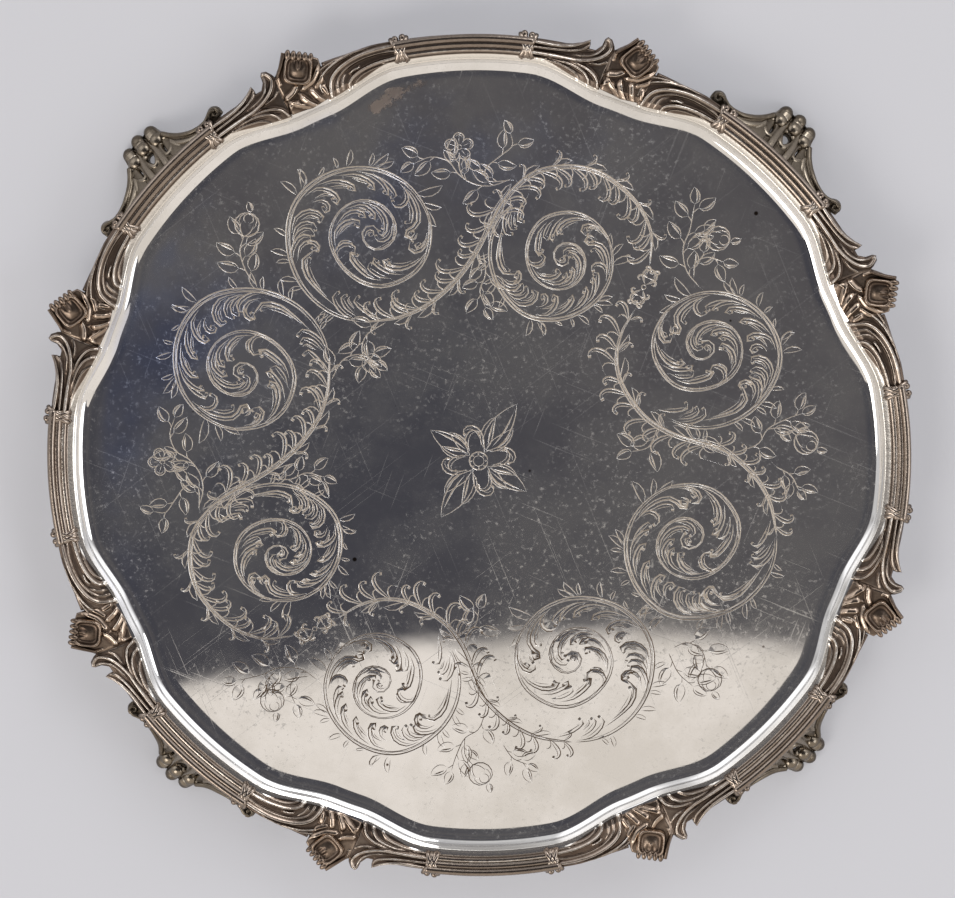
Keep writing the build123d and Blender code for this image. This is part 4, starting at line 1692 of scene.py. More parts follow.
@dataclass
class ShellMount:
    """A leafy base under an open cup whose rim turns into a row of teeth."""

    angle: float = 22.1
    radius: float = 177.3
    turn: float = -30.0
    half_side: float = 5.5
    around: int = 160
    rim_sink: float = 0.75          # how far the cup's rim sinks towards the teeth
    fold: float = 0.2               # height of the folds in its bowl
    ground_low: float = 20.6        # ground of the leaf work beside the sheet, and how far it rises
    ground_rise: float = 0.9
    rise_width: float = 4.0
    tuck: float = 0.6               # how far the base dips under the leaf of the next section
    sunk: float = 0.04
    teeth: int = 5
    tooth_gap: float = 2.35
    tooth_size: tuple[float, float, float] = (2.2, 1.22, 1.15)
    first_tooth: tuple[float, float, float] = (5.6, 4.75, 22.5)
    step: float = 0.25

    OUTLINE = ((19.35, 163.5), (19.75, 161.9), (21.2, 161.2), (22.4, 160.7), (23.6, 161.2), (25.8, 161.9),
               (26.2, 166), (26.0, 170), (25.75, 174), (25.45, 178), (24.3, 181.4), (22.95, 185.3), (21.6, 183.6),
               (20.2, 181), (19.15, 178.4), (19.2, 174.6), (19.3, 170))
    RIDGES = (
        Ridge(((25.7, 168.0), (24.9, 168.4), (24.0, 169.2), (23.3, 170.6)), 0.7, 1.9, 1.5, 0.8, 0.1, 0.8),
        Ridge(((25.6, 163.4), (24.9, 165.2), (24.2, 165.0), (23.6, 163)), 0.7, 1.5, 1.1, 0.8, 0.1, 0.6),
        Ridge(((23.2, 168.6), (22.9, 166.2), (22.4, 163.6), (21.7, 161.2)), 2.2, 0.8, 1.6, 0.8, 0.1, 0.9),
        Ridge(((25.2, 168.6), (24.7, 166.6), (23.8, 164.4), (22.7, 162.0)), 1.8, 0.7, 1.3, 0.8, 0.1, 0.9),
        Ridge(((21.7, 169.4), (21.3, 166.6), (20.9, 163.8), (20.5, 162.0)), 1.9, 0.8, 1.3, 0.8, 0.1, 0.8),
        Ridge(((19.3, 176.4), (20.3, 173.0), (21.1, 171.0), (22.4, 170.0)), 0.8, 1.6, 1.3, 0.8, 0.1, 0.9),
        Ridge(((19.2, 172.6), (20.0, 170.2), (20.8, 168.6)), 0.7, 1.5, 1.0, 0.8, 0.1, 0.7),
        Ridge(((20.2, 168.4), (19.9, 166.2), (19.7, 163.8)), 0.8, 1.4, 0.9, 0.8, 0.1, 0.7),
        Ridge(((22.9, 185.0), (24.0, 181.3), (24.85, 178.2), (25.0, 175)), 0.8, 0.8, 1.0, 0.8, 0.7, 0.4),
    )
    # (share of the half side, height, squareness) of the cup's rings, from its foot over the rim into the bowl
    RINGS = ((1.13, 20.5, 4.6), (1.11, 21.5, 4.5), (1.07, 22.6, 4.3), (1.03, 23.4, 4.1), (0.99, 23.85, 3.9),
             (0.95, 24.0, 3.8), (0.91, 23.95, 3.7), (0.87, 23.7, 3.6), (0.83, 23.2, 3.5), (0.79, 22.7, 3.4),
             (0.74, 22.3, 3.3), (0.68, 22.05, 3.1), (0.61, 21.95, 2.9), (0.53, 21.95, 2.8), (0.45, 22.05, 2.6),
             (0.37, 22.2, 2.5), (0.29, 22.35, 2.3), (0.22, 22.45, 2.2), (0.15, 22.5, 2.0), (0.08, 22.55, 2.0))

    def ground(self, plan: Points) -> Points:
        """The hollow that rises from the sheet, and dips again at the next section.

        Args:
            plan: Points of the border's strip.

        Returns:
            Their heights.
        """
        rise = np.clip((plan[:, 1] - bouge_edge(plan[:, 0] / DEGREE)) / self.rise_width, 0, 1)
        under = smooth(25.2 * DEGREE, 25.7 * DEGREE, plan[:, 0])
        return self.ground_low + self.ground_rise * rise ** 1.5 - self.tuck * under

    def set_down(self, points: Points) -> Points:
        """Points drawn about the cup's middle, moved to their place."""
        return points @ turner(math.radians(self.angle + self.turn)) + at(self.angle, self.radius, 0.0)

    def build(self, makers: Makers) -> Casting:
        """Makes the shell that follows the section centred on the +X axis.

        Args:
            makers: Makers of the teeth.

        Returns:
            The casting.
        """
        casting = Casting("shell")
        Relief((18.9 * DEGREE, 160), (26.7 * DEGREE, 186), self.step, signed(on_strip(self.OUTLINE)), self.ground,
               [ridge.laid() for ridge in self.RIDGES], PLAN.rim_top - self.sunk, off_strip, edge=0.6).build(casting)
        self.cup(casting)
        points, faces = makers.scallops(self.teeth, self.tooth_gap, self.tooth_size)
        points = self.set_down(points + self.first_tooth)
        casting.add(points, faces, 0.18 + 0.3 * np.clip(points[:, 2] - 22.3, 0, 1))
        # The straight flank that closes the cup's far side
        flank = np.array([[6.2, 6.5, 21.9], [2.4, 6.9, 22.3], [-1.2, 7.4, 22.1], [-4.4, 8.0, 21.5]])
        casting.add(*sweep(self.set_down(through(flank, 24)), np.linspace(0.9, 0.6, 24), 1.0), 0.4)
        return casting

    def cup(self, casting: Casting) -> None:
        """Adds the square cup as one closed shell of nested rings.

        Args:
            casting: What it is added to.
        """
        turn = np.linspace(0, 2 * math.pi, self.around, endpoint=False)
        loops, wears = [], []
        heights = [height for _, height, _ in self.RINGS]
        for ring, (share, height, square) in enumerate(self.RINGS):
            reach = (np.abs(np.cos(turn)) ** square + np.abs(np.sin(turn)) ** square) ** (-1 / square)
            radius = self.half_side * share * reach
            # The rim sinks towards the teeth, and folds run from them into the bowl
            outer = np.clip(np.cos(turn) * reach, 0, 1)
            fold = (np.cos(2 * math.pi * (radius * np.sin(turn) - 0.05) / self.tooth_gap)
                    * np.clip((0.9 - share) / 0.2, 0, 1))
            folds = self.fold * fold * outer
            lift = height - self.rim_sink * np.clip(share - 0.6, 0, 0.3) / 0.3 * outer ** 4 + folds
            loops.append(np.column_stack([radius * np.cos(turn), radius * np.sin(turn), lift]))
            nearby = np.mean(heights[max(ring - 2, 0):ring + 3])
            wears.append(np.clip(0.42 + 0.9 * (height - nearby) - 0.25 * outer ** 4 + folds, 0, 1))
        points = self.set_down(np.vstack(loops + [[[0, 0, self.RINGS[-1][1]]], [[0, 0, self.RINGS[0][1]]]]))
        faces = wrapped(len(loops), self.around, len(points) - 1, len(points) - 2)
        casting.add(points, faces, np.concatenate(wears + [[0.5], [0.2]]))


@dataclass
class Foot:
    """A splayed leg with pierced drops, three toes and a scroll bracket each side, on the +X axis."""

    reach: float = 189.3
    toe_spread: float = 6.3
    toe_back: float = 1.2           # the outer toes stand this much further in
    arch: float = 0.010             # how strongly the leg curves back at its sides
    leg_top: float = 0.9            # faces of the leg, over and under its middle line
    leg_back: float = -1.2
    hole_length: float = 2.9        # half sizes of a drop
    hole_width: float = 1.45
    bracket_foot: float = 16.8      # height from which a bracket bends down to the leg
    bracket_top: float = 17.9
    bracket_back: float = 15.8
    sole_inset: float = 1.4
    sole_radius: float = 2.5
    sole_top: float = 2.0
    step: float = 0.3

    SIDE = ((172.4, 19.2), (175.2, 16.6), (178.6, 13.0), (182.4, 8.6), (185.8, 5.4), (189.0, 3.4))
    HALF_WIDTHS = (14.0, 15.2, 13.6, 11.6, 10.2, 9.3)
    HOLES = ((0.53, -8.3, -0.34), (0.55, 0.0, 0.0), (0.53, 8.3, 0.34))     # share of the length, offset, lean
    BRACKET = ((173.5, 35.0), (176.6, 35.2), (178.6, 33.2), (178.4, 30.6), (177.0, 28.6), (176.8, 25.5), (177.6, 22.0),
               (178.6, 19.0), (180.2, 16.0), (182.2, 13.4), (184.6, 11.2), (186.6, 9.6), (184.0, 7.5), (176.0, 7.5),
               (173.6, 11.0), (171.4, 24.0))
    SCROLL = ((185.4, 9.8), (182.9, 11.9), (180.6, 14.6), (178.8, 17.6), (177.4, 20.6), (176.5, 24.0), (176.3, 27.0),
              (176.9, 29.4), (177.6, 31.4), (177.0, 33.4))
    INNER = ((181.4, 10.6), (178.6, 13.6), (176.4, 17.4), (175.0, 22.0), (174.6, 27.0))

    def build(self) -> Casting:
        """Makes the foot on the +X axis.

        Returns:
            The casting.
        """
        casting = Casting("foot")
        path = through(self.SIDE, 120)
        length = float(run_length(path)[-1])
        along = np.linspace(0, length, len(path))
        normal = normals(path)
        widths = np.interp(along, np.linspace(0, length, len(self.HALF_WIDTHS)), self.HALF_WIDTHS)

        def place(plan: Points, height: Points) -> Points:
            """Points of the leg's own plan, bent to its slope and arched across.

            Args:
                plan: Points along and across the leg.
                height: Heights over its middle line.

            Returns:
                The points in space.
            """
            middle = [np.interp(plan[:, 0], along, part) for part in (*path.T, *normal.T)]
            belly = height - self.arch * plan[:, 1] ** 2
            return np.column_stack([middle[0] + middle[2] * belly, plan[:, 1], middle[1] + middle[3] * belly])

        holes = [(share * length, across, lean) for share, across, lean in self.HOLES]

        def hole(plan: Points, u: float, v: float, lean: float) -> Points:
            """Rough distance to a drop-shaped hole at (u, v), negative inside.

            Args:
                plan: Points along and across the leg.
                u: How far along the hole is.
                v: How far across it is.
                lean: Its lean, in radians.

            Returns:
                The distances.
            """
            x, y = plan[:, 0] - u, plan[:, 1] - v
            a = x * math.cos(lean) + y * math.sin(lean)
            b = -x * math.sin(lean) + y * math.cos(lean)
            wide = self.hole_width * (1 + 0.16 * a)
            return (np.hypot(a / self.hole_length, b / np.maximum(wide, 0.3)) - 1) * 1.3

        def inside(plan: Points) -> Points:
            """Rough distance to the pierced leg's edges, negative inside.

            Args:
                plan: Points along and across the leg.

            Returns:
                The distances.
            """
            half = np.interp(plan[:, 0], along, widths)
            leg = np.maximum(np.abs(plan[:, 1]) - half, np.maximum(-plan[:, 0], plan[:, 0] - length))
            for one in holes:
                leg = np.maximum(leg, -hole(plan, *one))
            return leg

        ridges = []
        for u, v, lean in holes:
            turn = np.linspace(0, 2 * math.pi, 15)
            a, b = 4.3 * np.cos(turn), 2.6 * np.sin(turn) * (1 + 0.16 * np.cos(turn))
            loop = tuple(zip(u + a * math.cos(lean) - b * math.sin(lean),
                             v + a * math.sin(lean) + b * math.cos(lean)))
            ridges.append(Ridge(loop, 1.3, 1.3, 0.9, 1.0, 1.0, 1.0))
        for side in (-1, 1):
            ridges.append(Ridge(((0, side * 3.6), (0.3 * length, side * 4.2), (0.6 * length, side * 4.0),
                                 (0.86 * length, side * 3.2)), 1.7, 1.7, 1.5, 1.0, 0.8, 0.7))
            ridges.append(Ridge(((0, side * 13.2), (0.2 * length, side * 14.0), (0.5 * length, side * 11.6),
                                 (0.8 * length, side * 9.6), (length, side * 8.4)), 2.0, 2.0, 1.6, 1.0, 0.9, 0.9))
        for v in (-6.3, 0.0, 6.3):
            ridges.append(Ridge(((0.78 * length, v), (length, v)), 3.0, 3.0, 2.6, 1.0, 0.2, 1.0))
        Relief((0.0, -16.0), (length, 16.0), self.step, inside, lambda plan: np.full(len(plan), self.leg_top), ridges,
               self.leg_back, place, edge=0.8).build(casting)
        self.toes(casting)
        self.brackets(casting)
        return casting

    def toes(self, casting: Casting) -> None:
        """Adds the three toes and the flat sole that joins them.

        Args:
            casting: What they are added to.
        """
        for offset in (-self.toe_spread, 0.0, self.toe_spread):
            reach = self.reach - (self.toe_back if offset else 0.0)
            tilt = math.radians(-40)
            axes = np.array([[0, 1, 0], [math.cos(tilt), 0, math.sin(tilt)], [-math.sin(tilt), 0, math.cos(tilt)]])
            for centre, radii in (((reach + 0.3, 3.1), (3.1, 3.6, 3.3)), ((reach - 2.7, 6.4), (3.2, 3.5, 2.8))):
                points, faces = ball(np.array([centre[0], offset, centre[1]]), radii, 18, 30, axes)
                points[:, 2] = np.maximum(points[:, 2], 0.0)
                casting.add(points, faces, np.clip(0.08 + points[:, 2] * 0.06, 0, 1))
        turn = np.linspace(0, 2 * math.pi, 48, endpoint=False)
        middle = self.reach - self.sole_inset
        loop = np.column_stack([middle + self.sole_radius * np.cos(turn),
                                self.sole_radius * np.sin(turn) + np.sign(np.sin(turn)) * self.toe_spread])
        levels = [np.column_stack([loop, np.full(len(loop), height)]) for height in (0.0, self.sole_top)]
        points = np.vstack(levels + [[[middle, 0, 0.0]], [[middle, 0, self.sole_top]]])
        casting.add(points, wrapped(2, len(loop), 2 * len(loop), 2 * len(loop) + 1), 0.1, False)

    def brackets(self, casting: Casting) -> None:
        """Adds the scroll brackets under the rim.

        Args:
            casting: What they are added to.
        """
        for side in (-1, 1):
            outline = through([(x, side * y) for x, y in self.BRACKET + self.BRACKET[:1]], 90)[:-1]
            scroll = tuple((x, side * y) for x, y in self.SCROLL)
            small = tuple((176.0 + (2.0 - 0.17 * k) * math.cos(0.7 * k),
                           side * (32.4 + (2.0 - 0.17 * k) * math.sin(0.7 * k))) for k in range(10))
            inner = tuple((x, side * y) for x, y in self.INNER)
            low = (170.5, min(side * 6.5, side * 36.5))
            Relief(low, (187.5, low[1] + 30.0), self.step, signed(outline),
                   lambda plan: np.full(len(plan), self.bracket_top),
                   [Ridge(scroll, 1.2, 1.2, 1.3, 0.9, 0.8, 0.6), Ridge(small, 0.6, 0.6, 0.9),
                    Ridge(inner, 1.0, 1.0, 0.9, 0.9, 0.3, 0.3)], self.bracket_back,
                   lambda plan, height: np.column_stack([plan, height - self.droop(plan)])).build(casting)
            for line, thick in ((scroll, 1.25), (small, 0.7)):
                rib = through([(x, y, self.bracket_top + 0.3) for x, y in line], 70)
                rib[:, 2] -= self.droop(rib)
                casting.add(*sweep(rib, np.linspace(thick, thick * 0.6, len(rib)), thick), 0.45)

    def droop(self, plan: Points) -> Points:
        """How far a bracket bends down to the leg that it flows into.

        Args:
            plan: Points in plan.

        Returns:
            One distance for each point.
        """
        radii, heights = np.array(self.SIDE).T
        leg = np.interp(plan[:, 0], radii, heights)
        near = smooth(27.0, 13.0, np.abs(plan[:, 1]))
        return near * np.maximum(self.bracket_foot - leg, 0.0)


# ---------------------------------------------------------------- finishes

class Shader(Nodes):
    """A material or shader group under construction."""

    def span(self, value: object, low: object, high: object, start: float = 0.0,
             end: float = 1.0) -> bpy.types.NodeSocket:
        """Maps a value smoothly from one span to another."""
        return self.node("ShaderNodeMapRange", {"interpolation_type": "SMOOTHSTEP"}, Value=value, From_Min=low,
                         From_Max=high, To_Min=start, To_Max=end).outputs[0]

    def blend(self, share: object, first: object, second: object) -> bpy.types.NodeSocket:
        """Mixes two colours, all the first one where the share is 0."""
        return self.node("ShaderNodeMix", {"data_type": "RGBA"}, Factor=share, A=first, B=second).outputs[2]

    def noise(self, place: object, scale: float, detail: float = 3.0, rough: float = 0.55) -> bpy.types.NodeSocket:
        """A noise value at a place."""
        return self.node("ShaderNodeTexNoise", Vector=place, Scale=scale, Detail=detail, Roughness=rough).outputs["Fac"]


def fresh_material(name: str) -> tuple[bpy.types.Material, Shader, bpy.types.NodeInputs]:
    """Starts a material.

    Args:
        name: Its name.

    Returns:
        The material, the builder of its nodes and the inputs of its surface.
    """
    material = bpy.data.materials.new(name)
    material.use_nodes = True
    return material, Shader(material.node_tree), material.node_tree.nodes["Principled BSDF"].inputs


def group(name: str, inputs: dict[str, str], outputs: dict[str, str]) -> tuple[Shader, dict, bpy.types.Node]:
    """Starts a shader node group.

    Args:
        name: Its name.
        inputs: Its input names, with their socket types.
        outputs: Its output names, with their socket types.

    Returns:
        The builder, the input sockets by name and the output node.
    """
    tree = bpy.data.node_groups.new(name, "ShaderNodeTree")
    for way, names in (("INPUT", inputs), ("OUTPUT", outputs)):
        for label, kind in names.items():
            tree.interface.new_socket(label, in_out=way, socket_type=kind)
    source, sink = tree.nodes.new("NodeGroupInput"), tree.nodes.new("NodeGroupOutput")
    return Shader(tree), {label: source.outputs[label] for label in inputs}, sink


NUMBER, COLOUR, VECTOR = "NodeSocketFloat", "NodeSocketColor", "NodeSocketVector"


def mottle_group() -> bpy.types.NodeTree:
    """Cloudy tarnish, dark pits and small specks of old silver.

    Returns:
        The group.
    """
    shader, given, sink = group("mottle", {"Place": VECTOR, "Amount": NUMBER},
                                {"Cloud": NUMBER, "Speck": NUMBER, "Pit": NUMBER})
    place = given["Place"]
    cloud = shader.times(shader.span(shader.noise(place, 20, 7, 0.66), 0.38, 0.66), given["Amount"])
    fine = shader.span(shader.noise(place, 520, 3, 0.7), 0.54, 0.72)
    patchy = shader.span(shader.noise(place, 26, 3, 0.6), 0.36, 0.62)
    speck = shader.times(fine, patchy)
    cells = shader.node("ShaderNodeTexVoronoi", Vector=place, Scale=95.0)
    size = shader.node("ShaderNodeSeparateColor", Color=cells.outputs["Color"])
    radius = shader.times(shader.maths("POWER", size.outputs[0], 8.0), 0.11)
    pit = shader.span(shader.minus(cells.outputs["Distance"], radius), 0.01, -0.04)
    for value, label in ((cloud, "Cloud"), (speck, "Speck"), (pit, "Pit")):
        shader.feed(value, sink.inputs[label])
    return shader.tree


def scratch_group() -> bpy.types.NodeTree:
    """Hairline scratches that run in several directions.

    Returns:
        The group.
    """
    shader, given, sink = group("scratches", {"Place": VECTOR, "Amount": NUMBER}, {"Mask": NUMBER})
    total: object = 0.0
    for turn, across, along, cut in ((0.35, 1500.0, 13.0, 0.725), (1.15, 1200.0, 18.0, 0.73),
                                     (2.2, 1700.0, 11.0, 0.735), (2.75, 1000.0, 24.0, 0.74)):
        spun = shader.node("ShaderNodeMapping", {"vector_type": "TEXTURE"}, Vector=given["Place"],
                           Rotation=(0, 0, turn), Scale=(1 / across, 1 / along, 1.0))
        line = shader.span(shader.noise(spun, 1.0, 1.0, 0.4), cut - 0.03, cut + 0.02)
        total = shader.maths("MAXIMUM", total, line)
    shader.feed(shader.times(total, given["Amount"]), sink.inputs["Mask"])
    return shader.tree


def relief_group() -> bpy.types.NodeTree:
    """Tarnish that stays in hollows and is rubbed off crests.

    Returns:
        The group.
    """
    shader, given, sink = group(
        "rubbed_relief", {"Place": VECTOR, "Wear": NUMBER, "Low": NUMBER, "High": NUMBER, "Crest": COLOUR,
                          "Hollow": COLOUR, "Stain": COLOUR, "Bright": COLOUR},
        {"Colour": COLOUR, "Rubbed": NUMBER, "Polished": NUMBER, "Height": NUMBER})
    place = given["Place"]
    drift = shader.times(shader.minus(shader.noise(place, 60, 5, 0.6), 0.5), 0.35)
    grain = shader.times(shader.minus(shader.noise(place, 700, 4, 0.65), 0.5), 0.30)
    wear = shader.plus(given["Wear"], shader.plus(drift, grain))
    rubbed = shader.span(wear, given["Low"], given["High"])
    stain = shader.span(shader.noise(place, 34, 4, 0.6), 0.45, 0.68)
    hollow = shader.blend(stain, given["Hollow"], given["Stain"])
    polished = shader.span(wear, 0.92, 1.15)
    shader.feed(shader.blend(polished, shader.blend(rubbed, hollow, given["Crest"]), given["Bright"]),
                sink.inputs["Colour"])
    shader.feed(rubbed, sink.inputs["Rubbed"])
    shader.feed(polished, sink.inputs["Polished"])
    pores = shader.plus(shader.noise(place, 900, 3, 0.6), shader.times(shader.noise(place, 260, 3), 1.5))
    shader.feed(pores, sink.inputs["Height"])
    return shader.tree


@dataclass(frozen=True)
class CastFinish:
    """Finish of a cast and chased piece: dark hollows, rubbed crests and a fine cast skin."""

    name: str
    crest: Colour
    hollow: Colour
    stain: Colour
    bright: Colour
    low: float
    high: float
    bright_rough: float
    crest_rough: float
    hollow_rough: float
    skin: float

    def make(self, relief: bpy.types.NodeTree) -> bpy.types.Material:
        """Makes the material.

        Args:
            relief: The group that works out its wear.

        Returns:
            The material.
        """
        material, shader, surface = fresh_material(self.name)
        place = shader.node("ShaderNodeTexCoord").outputs["Object"]
        wear = shader.node("ShaderNodeAttribute", {"attribute_name": "wear"}).outputs["Fac"]
        rubbed = shader.node("ShaderNodeGroup", {"node_tree": relief}, Place=place, Wear=wear, Low=self.low,
                             High=self.high, Crest=self.crest, Hollow=self.hollow, Stain=self.stain,
                             Bright=self.bright)
        shader.feed(rubbed.outputs["Colour"], surface["Base Color"])
        worn = shader.span(rubbed.outputs["Rubbed"], 0, 1, self.hollow_rough, self.crest_rough)
        polished = shader.times(rubbed.outputs["Polished"], self.bright_rough - self.crest_rough)
        shader.feed(shader.plus(worn, polished), surface["Roughness"])
        bump = shader.node("ShaderNodeBump", Strength=self.skin, Distance=0.00012, Height=rubbed.outputs["Height"])
        shader.feed(bump, surface["Normal"])
        surface["Metallic"].default_value = 1.0
        return material


@dataclass(frozen=True)
class SheetFinish:
    """Finish of the old polished sheet: clouds, specks, pits, scratches and a worn-through patch."""

    name: str
    silver: Colour
    cloud: Colour
    groove: Colour
    # the darker cut colour, painted shade used towards -Y
    shaded_groove: Colour
    copper: Colour
    pit: Colour
    film: Colour
    polish: float
    groove_rough: float
    patch_angle: float
    patch_radius: float

    def make(self, mottle: bpy.types.NodeTree, scratches: bpy.types.NodeTree) -> bpy.types.Material:
        """Makes the material.

        Args:
            mottle: The group for its tarnish.
            scratches: The group for its scratches.

        Returns:
            The material.
        """
        material, shader, surface = fresh_material(self.name)
        place = shader.node("ShaderNodeTexCoord").outputs["Object"]
        groove = shader.span(shader.node("ShaderNodeAttribute", {"attribute_name": "wear"}).outputs["Fac"], 0.0, 0.32)
        old = shader.node("ShaderNodeGroup", {"node_tree": mottle}, Place=place, Amount=1.0)
        lines = shader.node("ShaderNodeGroup", {"node_tree": scratches}, Place=place, Amount=0.5)
        colour = shader.blend(shader.times(old.outputs["Cloud"], 0.55), self.silver, self.cloud)
        colour = shader.blend(shader.times(old.outputs["Speck"], 0.45), colour, self.cloud)
        # A bluish film in a ring inside the bouge, on one side
        away = shader.node("ShaderNodeVectorMath", {"operation": "LENGTH"}, Vector=place).outputs["Value"]
        ring = shader.times(shader.span(away, 0.07, 0.14), shader.span(away, 0.160, 0.153))
        across, along, _ = shader.node("ShaderNodeSeparateXYZ", Vector=place).outputs
        upper = shader.span(shader.minus(along, shader.times(across, 0.8)), 0.03, 0.14)
        film = shader.times(shader.span(shader.noise(place, 13, 4), 0.42, 0.66), shader.times(ring, upper))
        colour = shader.blend(shader.times(film, 0.75), colour, self.film)
        # The patch on the bouge where the silver is rubbed through
        middle = at(self.patch_angle, self.patch_radius, PLAN.flat_top) * MM
        shifted = shader.node("ShaderNodeMapping", {"vector_type": "TEXTURE"}, Vector=place, Location=tuple(middle),
                              Rotation=(0, 0, math.radians(self.patch_angle + 14.0)), Scale=(0.0042, 0.021, 0.02))
        ragged = shader.times(shader.noise(place, 150, 6, 0.72), 3.2)
        away = shader.node("ShaderNodeVectorMath", {"operation": "LENGTH"}, Vector=shifted).outputs["Value"]
        worn = shader.span(shader.plus(away, ragged), 2.35, 1.95)
        colour = shader.blend(shader.times(worn, 0.75), colour, self.copper)
        colour = shader.blend(old.outputs["Pit"], colour, self.pit)
        # Painted shade: the cuts are coloured much darker towards -Y, the side where the flat reflects the bright
        # paper, so that they show dark against it
        cut = shader.blend(shader.span(along, -0.058, -0.080), self.groove, self.shaded_groove)
        colour = shader.blend(groove, colour, cut)
        shader.feed(colour, surface["Base Color"])
        rough = shader.plus(self.polish, shader.times(old.outputs["Cloud"], 0.022))
        rough = shader.plus(rough, shader.times(old.outputs["Speck"], 0.10))
        rough = shader.plus(rough, shader.times(lines.outputs["Mask"], 0.12))
        rough = shader.plus(rough, shader.times(worn, 0.25))
        rough = shader.maths("MAXIMUM", rough, shader.times(groove, self.groove_rough))
        shader.feed(rough, surface["Roughness"])
        dull = shader.plus(shader.noise(place, 38, 3), shader.times(lines.outputs["Mask"], -0.06))
        bump = shader.node("ShaderNodeBump", Strength=0.012, Distance=0.0004, Height=dull)
        shader.feed(bump, surface["Normal"])
        haze = shader.plus(shader.times(old.outputs["Cloud"], 0.055), shader.times(old.outputs["Speck"], 0.17))
        haze = shader.plus(haze, shader.times(lines.outputs["Mask"], 0.10))
        shader.feed(shader.minus(0.99, haze), surface["Metallic"])
        return material


# ---------------------------------------------------------------- studio

@dataclass
class Studio:
    """Camera, pale floor and soft light, in metres and degrees."""

    tilt: float = 12.85
    yaw: float = -1.19
    roll: float = 1.69
    distance: float = 1.6
    aside: float = -0.00034
    ahead: float = 0.00642
    aim_height: float = 0.022
    lens: float = 147.35602
    sensor: float = 36.0
    floor_size: float = 9.0
    floor_colour: Colour = (0.41, 0.41, 0.432, 1)
    floor_glow: Colour = (0.97, 0.965, 1.0, 1)
    paper: Colour = (0.86, 0.80, 0.74, 1)
    paper_edge: float = 0.279
    ceiling: tuple[Colour, Colour] = ((0.050, 0.050, 0.062, 1), (0.084, 0.079, 0.084, 1))
    pale_sweep: Colour = (0.74, 0.74, 0.76, 1)
    window: Colour = (1.5, 1.5, 1.54, 1)
    backdrop: Colour = (0.60, 0.60, 0.66, 1)

    def camera(self) -> None:
        """Sets up the camera."""
        turn = (Matrix.Rotation(math.radians(self.yaw), 3, "Y") @ Matrix.Rotation(math.radians(self.tilt), 3, "X")
                @ Matrix.Rotation(math.radians(self.roll), 3, "Z")).transposed()
        data = bpy.data.cameras.new("camera")
        data.sensor_width = self.sensor
        data.sensor_fit = "HORIZONTAL"
        data.lens = self.lens
        camera = bpy.data.objects.new("camera", data)
        place = turn @ Vector((self.aside, self.ahead, self.distance)) + Vector((0, 0, self.aim_height))
        camera.matrix_world = Matrix.Translation(place) @ turn.to_4x4()
        bpy.context.scene.collection.objects.link(camera)
        bpy.context.scene.camera = camera

    def floor(self) -> None:
        """Lays the pale floor."""
        half = self.floor_size / 2
        mesh = bpy.data.meshes.new("floor")
        mesh.from_pydata([(-half, -half, 0), (half, -half, 0), (half, half, 0), (-half, half, 0)], [], [(0, 1, 2, 3)])
        floor = bpy.data.objects.new("floor", mesh)
        bpy.context.scene.collection.objects.link(floor)
        material, _, surface = fresh_material("pale_paper")
        surface["Base Color"].default_value = self.floor_colour
        surface["Emission Color"].default_value = self.floor_glow
        surface["Emission Strength"].default_value = 0.21
        surface["Roughness"].default_value = 0.9
        surface["Specular IOR Level"].default_value = 0.1
        mesh.materials.append(material)

    def world(self) -> None:
        """Lights the room: warm paper in front, a dark ceiling and a pale sweep all round."""
        world = bpy.data.worlds.new("room")
        bpy.context.scene.world = world
        world.use_nodes = True
        shader = Shader(world.node_tree)
        background = world.node_tree.nodes["Background"]
        way = shader.node("ShaderNodeTexCoord").outputs["Generated"]
        x, y, z = shader.node("ShaderNodeSeparateXYZ", Vector=way).outputs
        up = shader.maths("MAXIMUM", z, 0.02)
        forward = shader.maths("DIVIDE", shader.times(y, -1.0), up)
        aside = shader.maths("DIVIDE", x, up)
        droop = shader.times(shader.maths("MINIMUM", shader.times(aside, aside), 0.6), 0.6)
        wobble = shader.times(shader.minus(shader.noise(way, 11.0, 2), 0.5), 0.03)
        reach = shader.minus(shader.plus(forward, wobble), droop)
        paper = shader.span(reach, self.paper_edge - 0.003, self.paper_edge + 0.003)
        haze = shader.span(shader.noise(way, 5.0, 4), 0.35, 0.65)
        room = shader.blend(haze, *self.ceiling)
        # The pale sweep that the salver stands in rises all round it, and is brightest at the far corners
        rise = shader.span(z, 0.80, 0.72)
        patchy = shader.span(shader.noise(way, 2.2, 2), 0.30, 0.62, 0.35, 1.0)
        room = shader.blend(shader.times(rise, patchy), room, self.pale_sweep)
        corner = shader.times(shader.span(shader.maths("ABSOLUTE", x), 0.22, 0.42), shader.span(y, 0.05, 0.30))
        window = shader.times(shader.times(corner, rise), shader.span(z, 0.08, 0.30))
        room = shader.blend(window, room, self.window)
        colour = shader.blend(paper, room, self.paper)
        seen = shader.node("ShaderNodeLightPath").outputs["Is Camera Ray"]
        colour = shader.blend(seen, colour, self.backdrop)
        shader.feed(colour, background.inputs["Color"])

    def lamps(self) -> None:
        """Hangs the soft lamps."""
        for name, place, aim, size, power, tint in (
                ("key", (-1.5, -1.3, 1.9), (0, 0, 0), 1.5, 24.0, (1.0, 0.97, 0.93)),
                ("fill", (1.9, -0.6, 1.5), (0, 0, 0), 1.3, 12.0, (0.95, 0.97, 1.0)),
                ("back", (0.9, 2.2, 1.3), (0, 0, 0), 1.2, 15.0, (0.97, 0.98, 1.0))):
            data = bpy.data.lights.new(name, "AREA")
            data.shape = "DISK"
            data.size = size
            data.energy = power
            data.color = tint
            lamp = bpy.data.objects.new(name, data)
            lamp.matrix_world = (Matrix.Translation(place)
                                 @ (Vector(aim) - Vector(place)).to_track_quat("-Z", "Y").to_matrix().to_4x4())
            bpy.context.scene.collection.objects.link(lamp)

    def build(self) -> None:
        """Sets up everything."""
        self.camera()
        self.floor()
        self.world()
        self.lamps()
        bpy.context.scene.view_settings.view_transform = "Standard"
        bpy.context.scene.view_settings.look = "None"


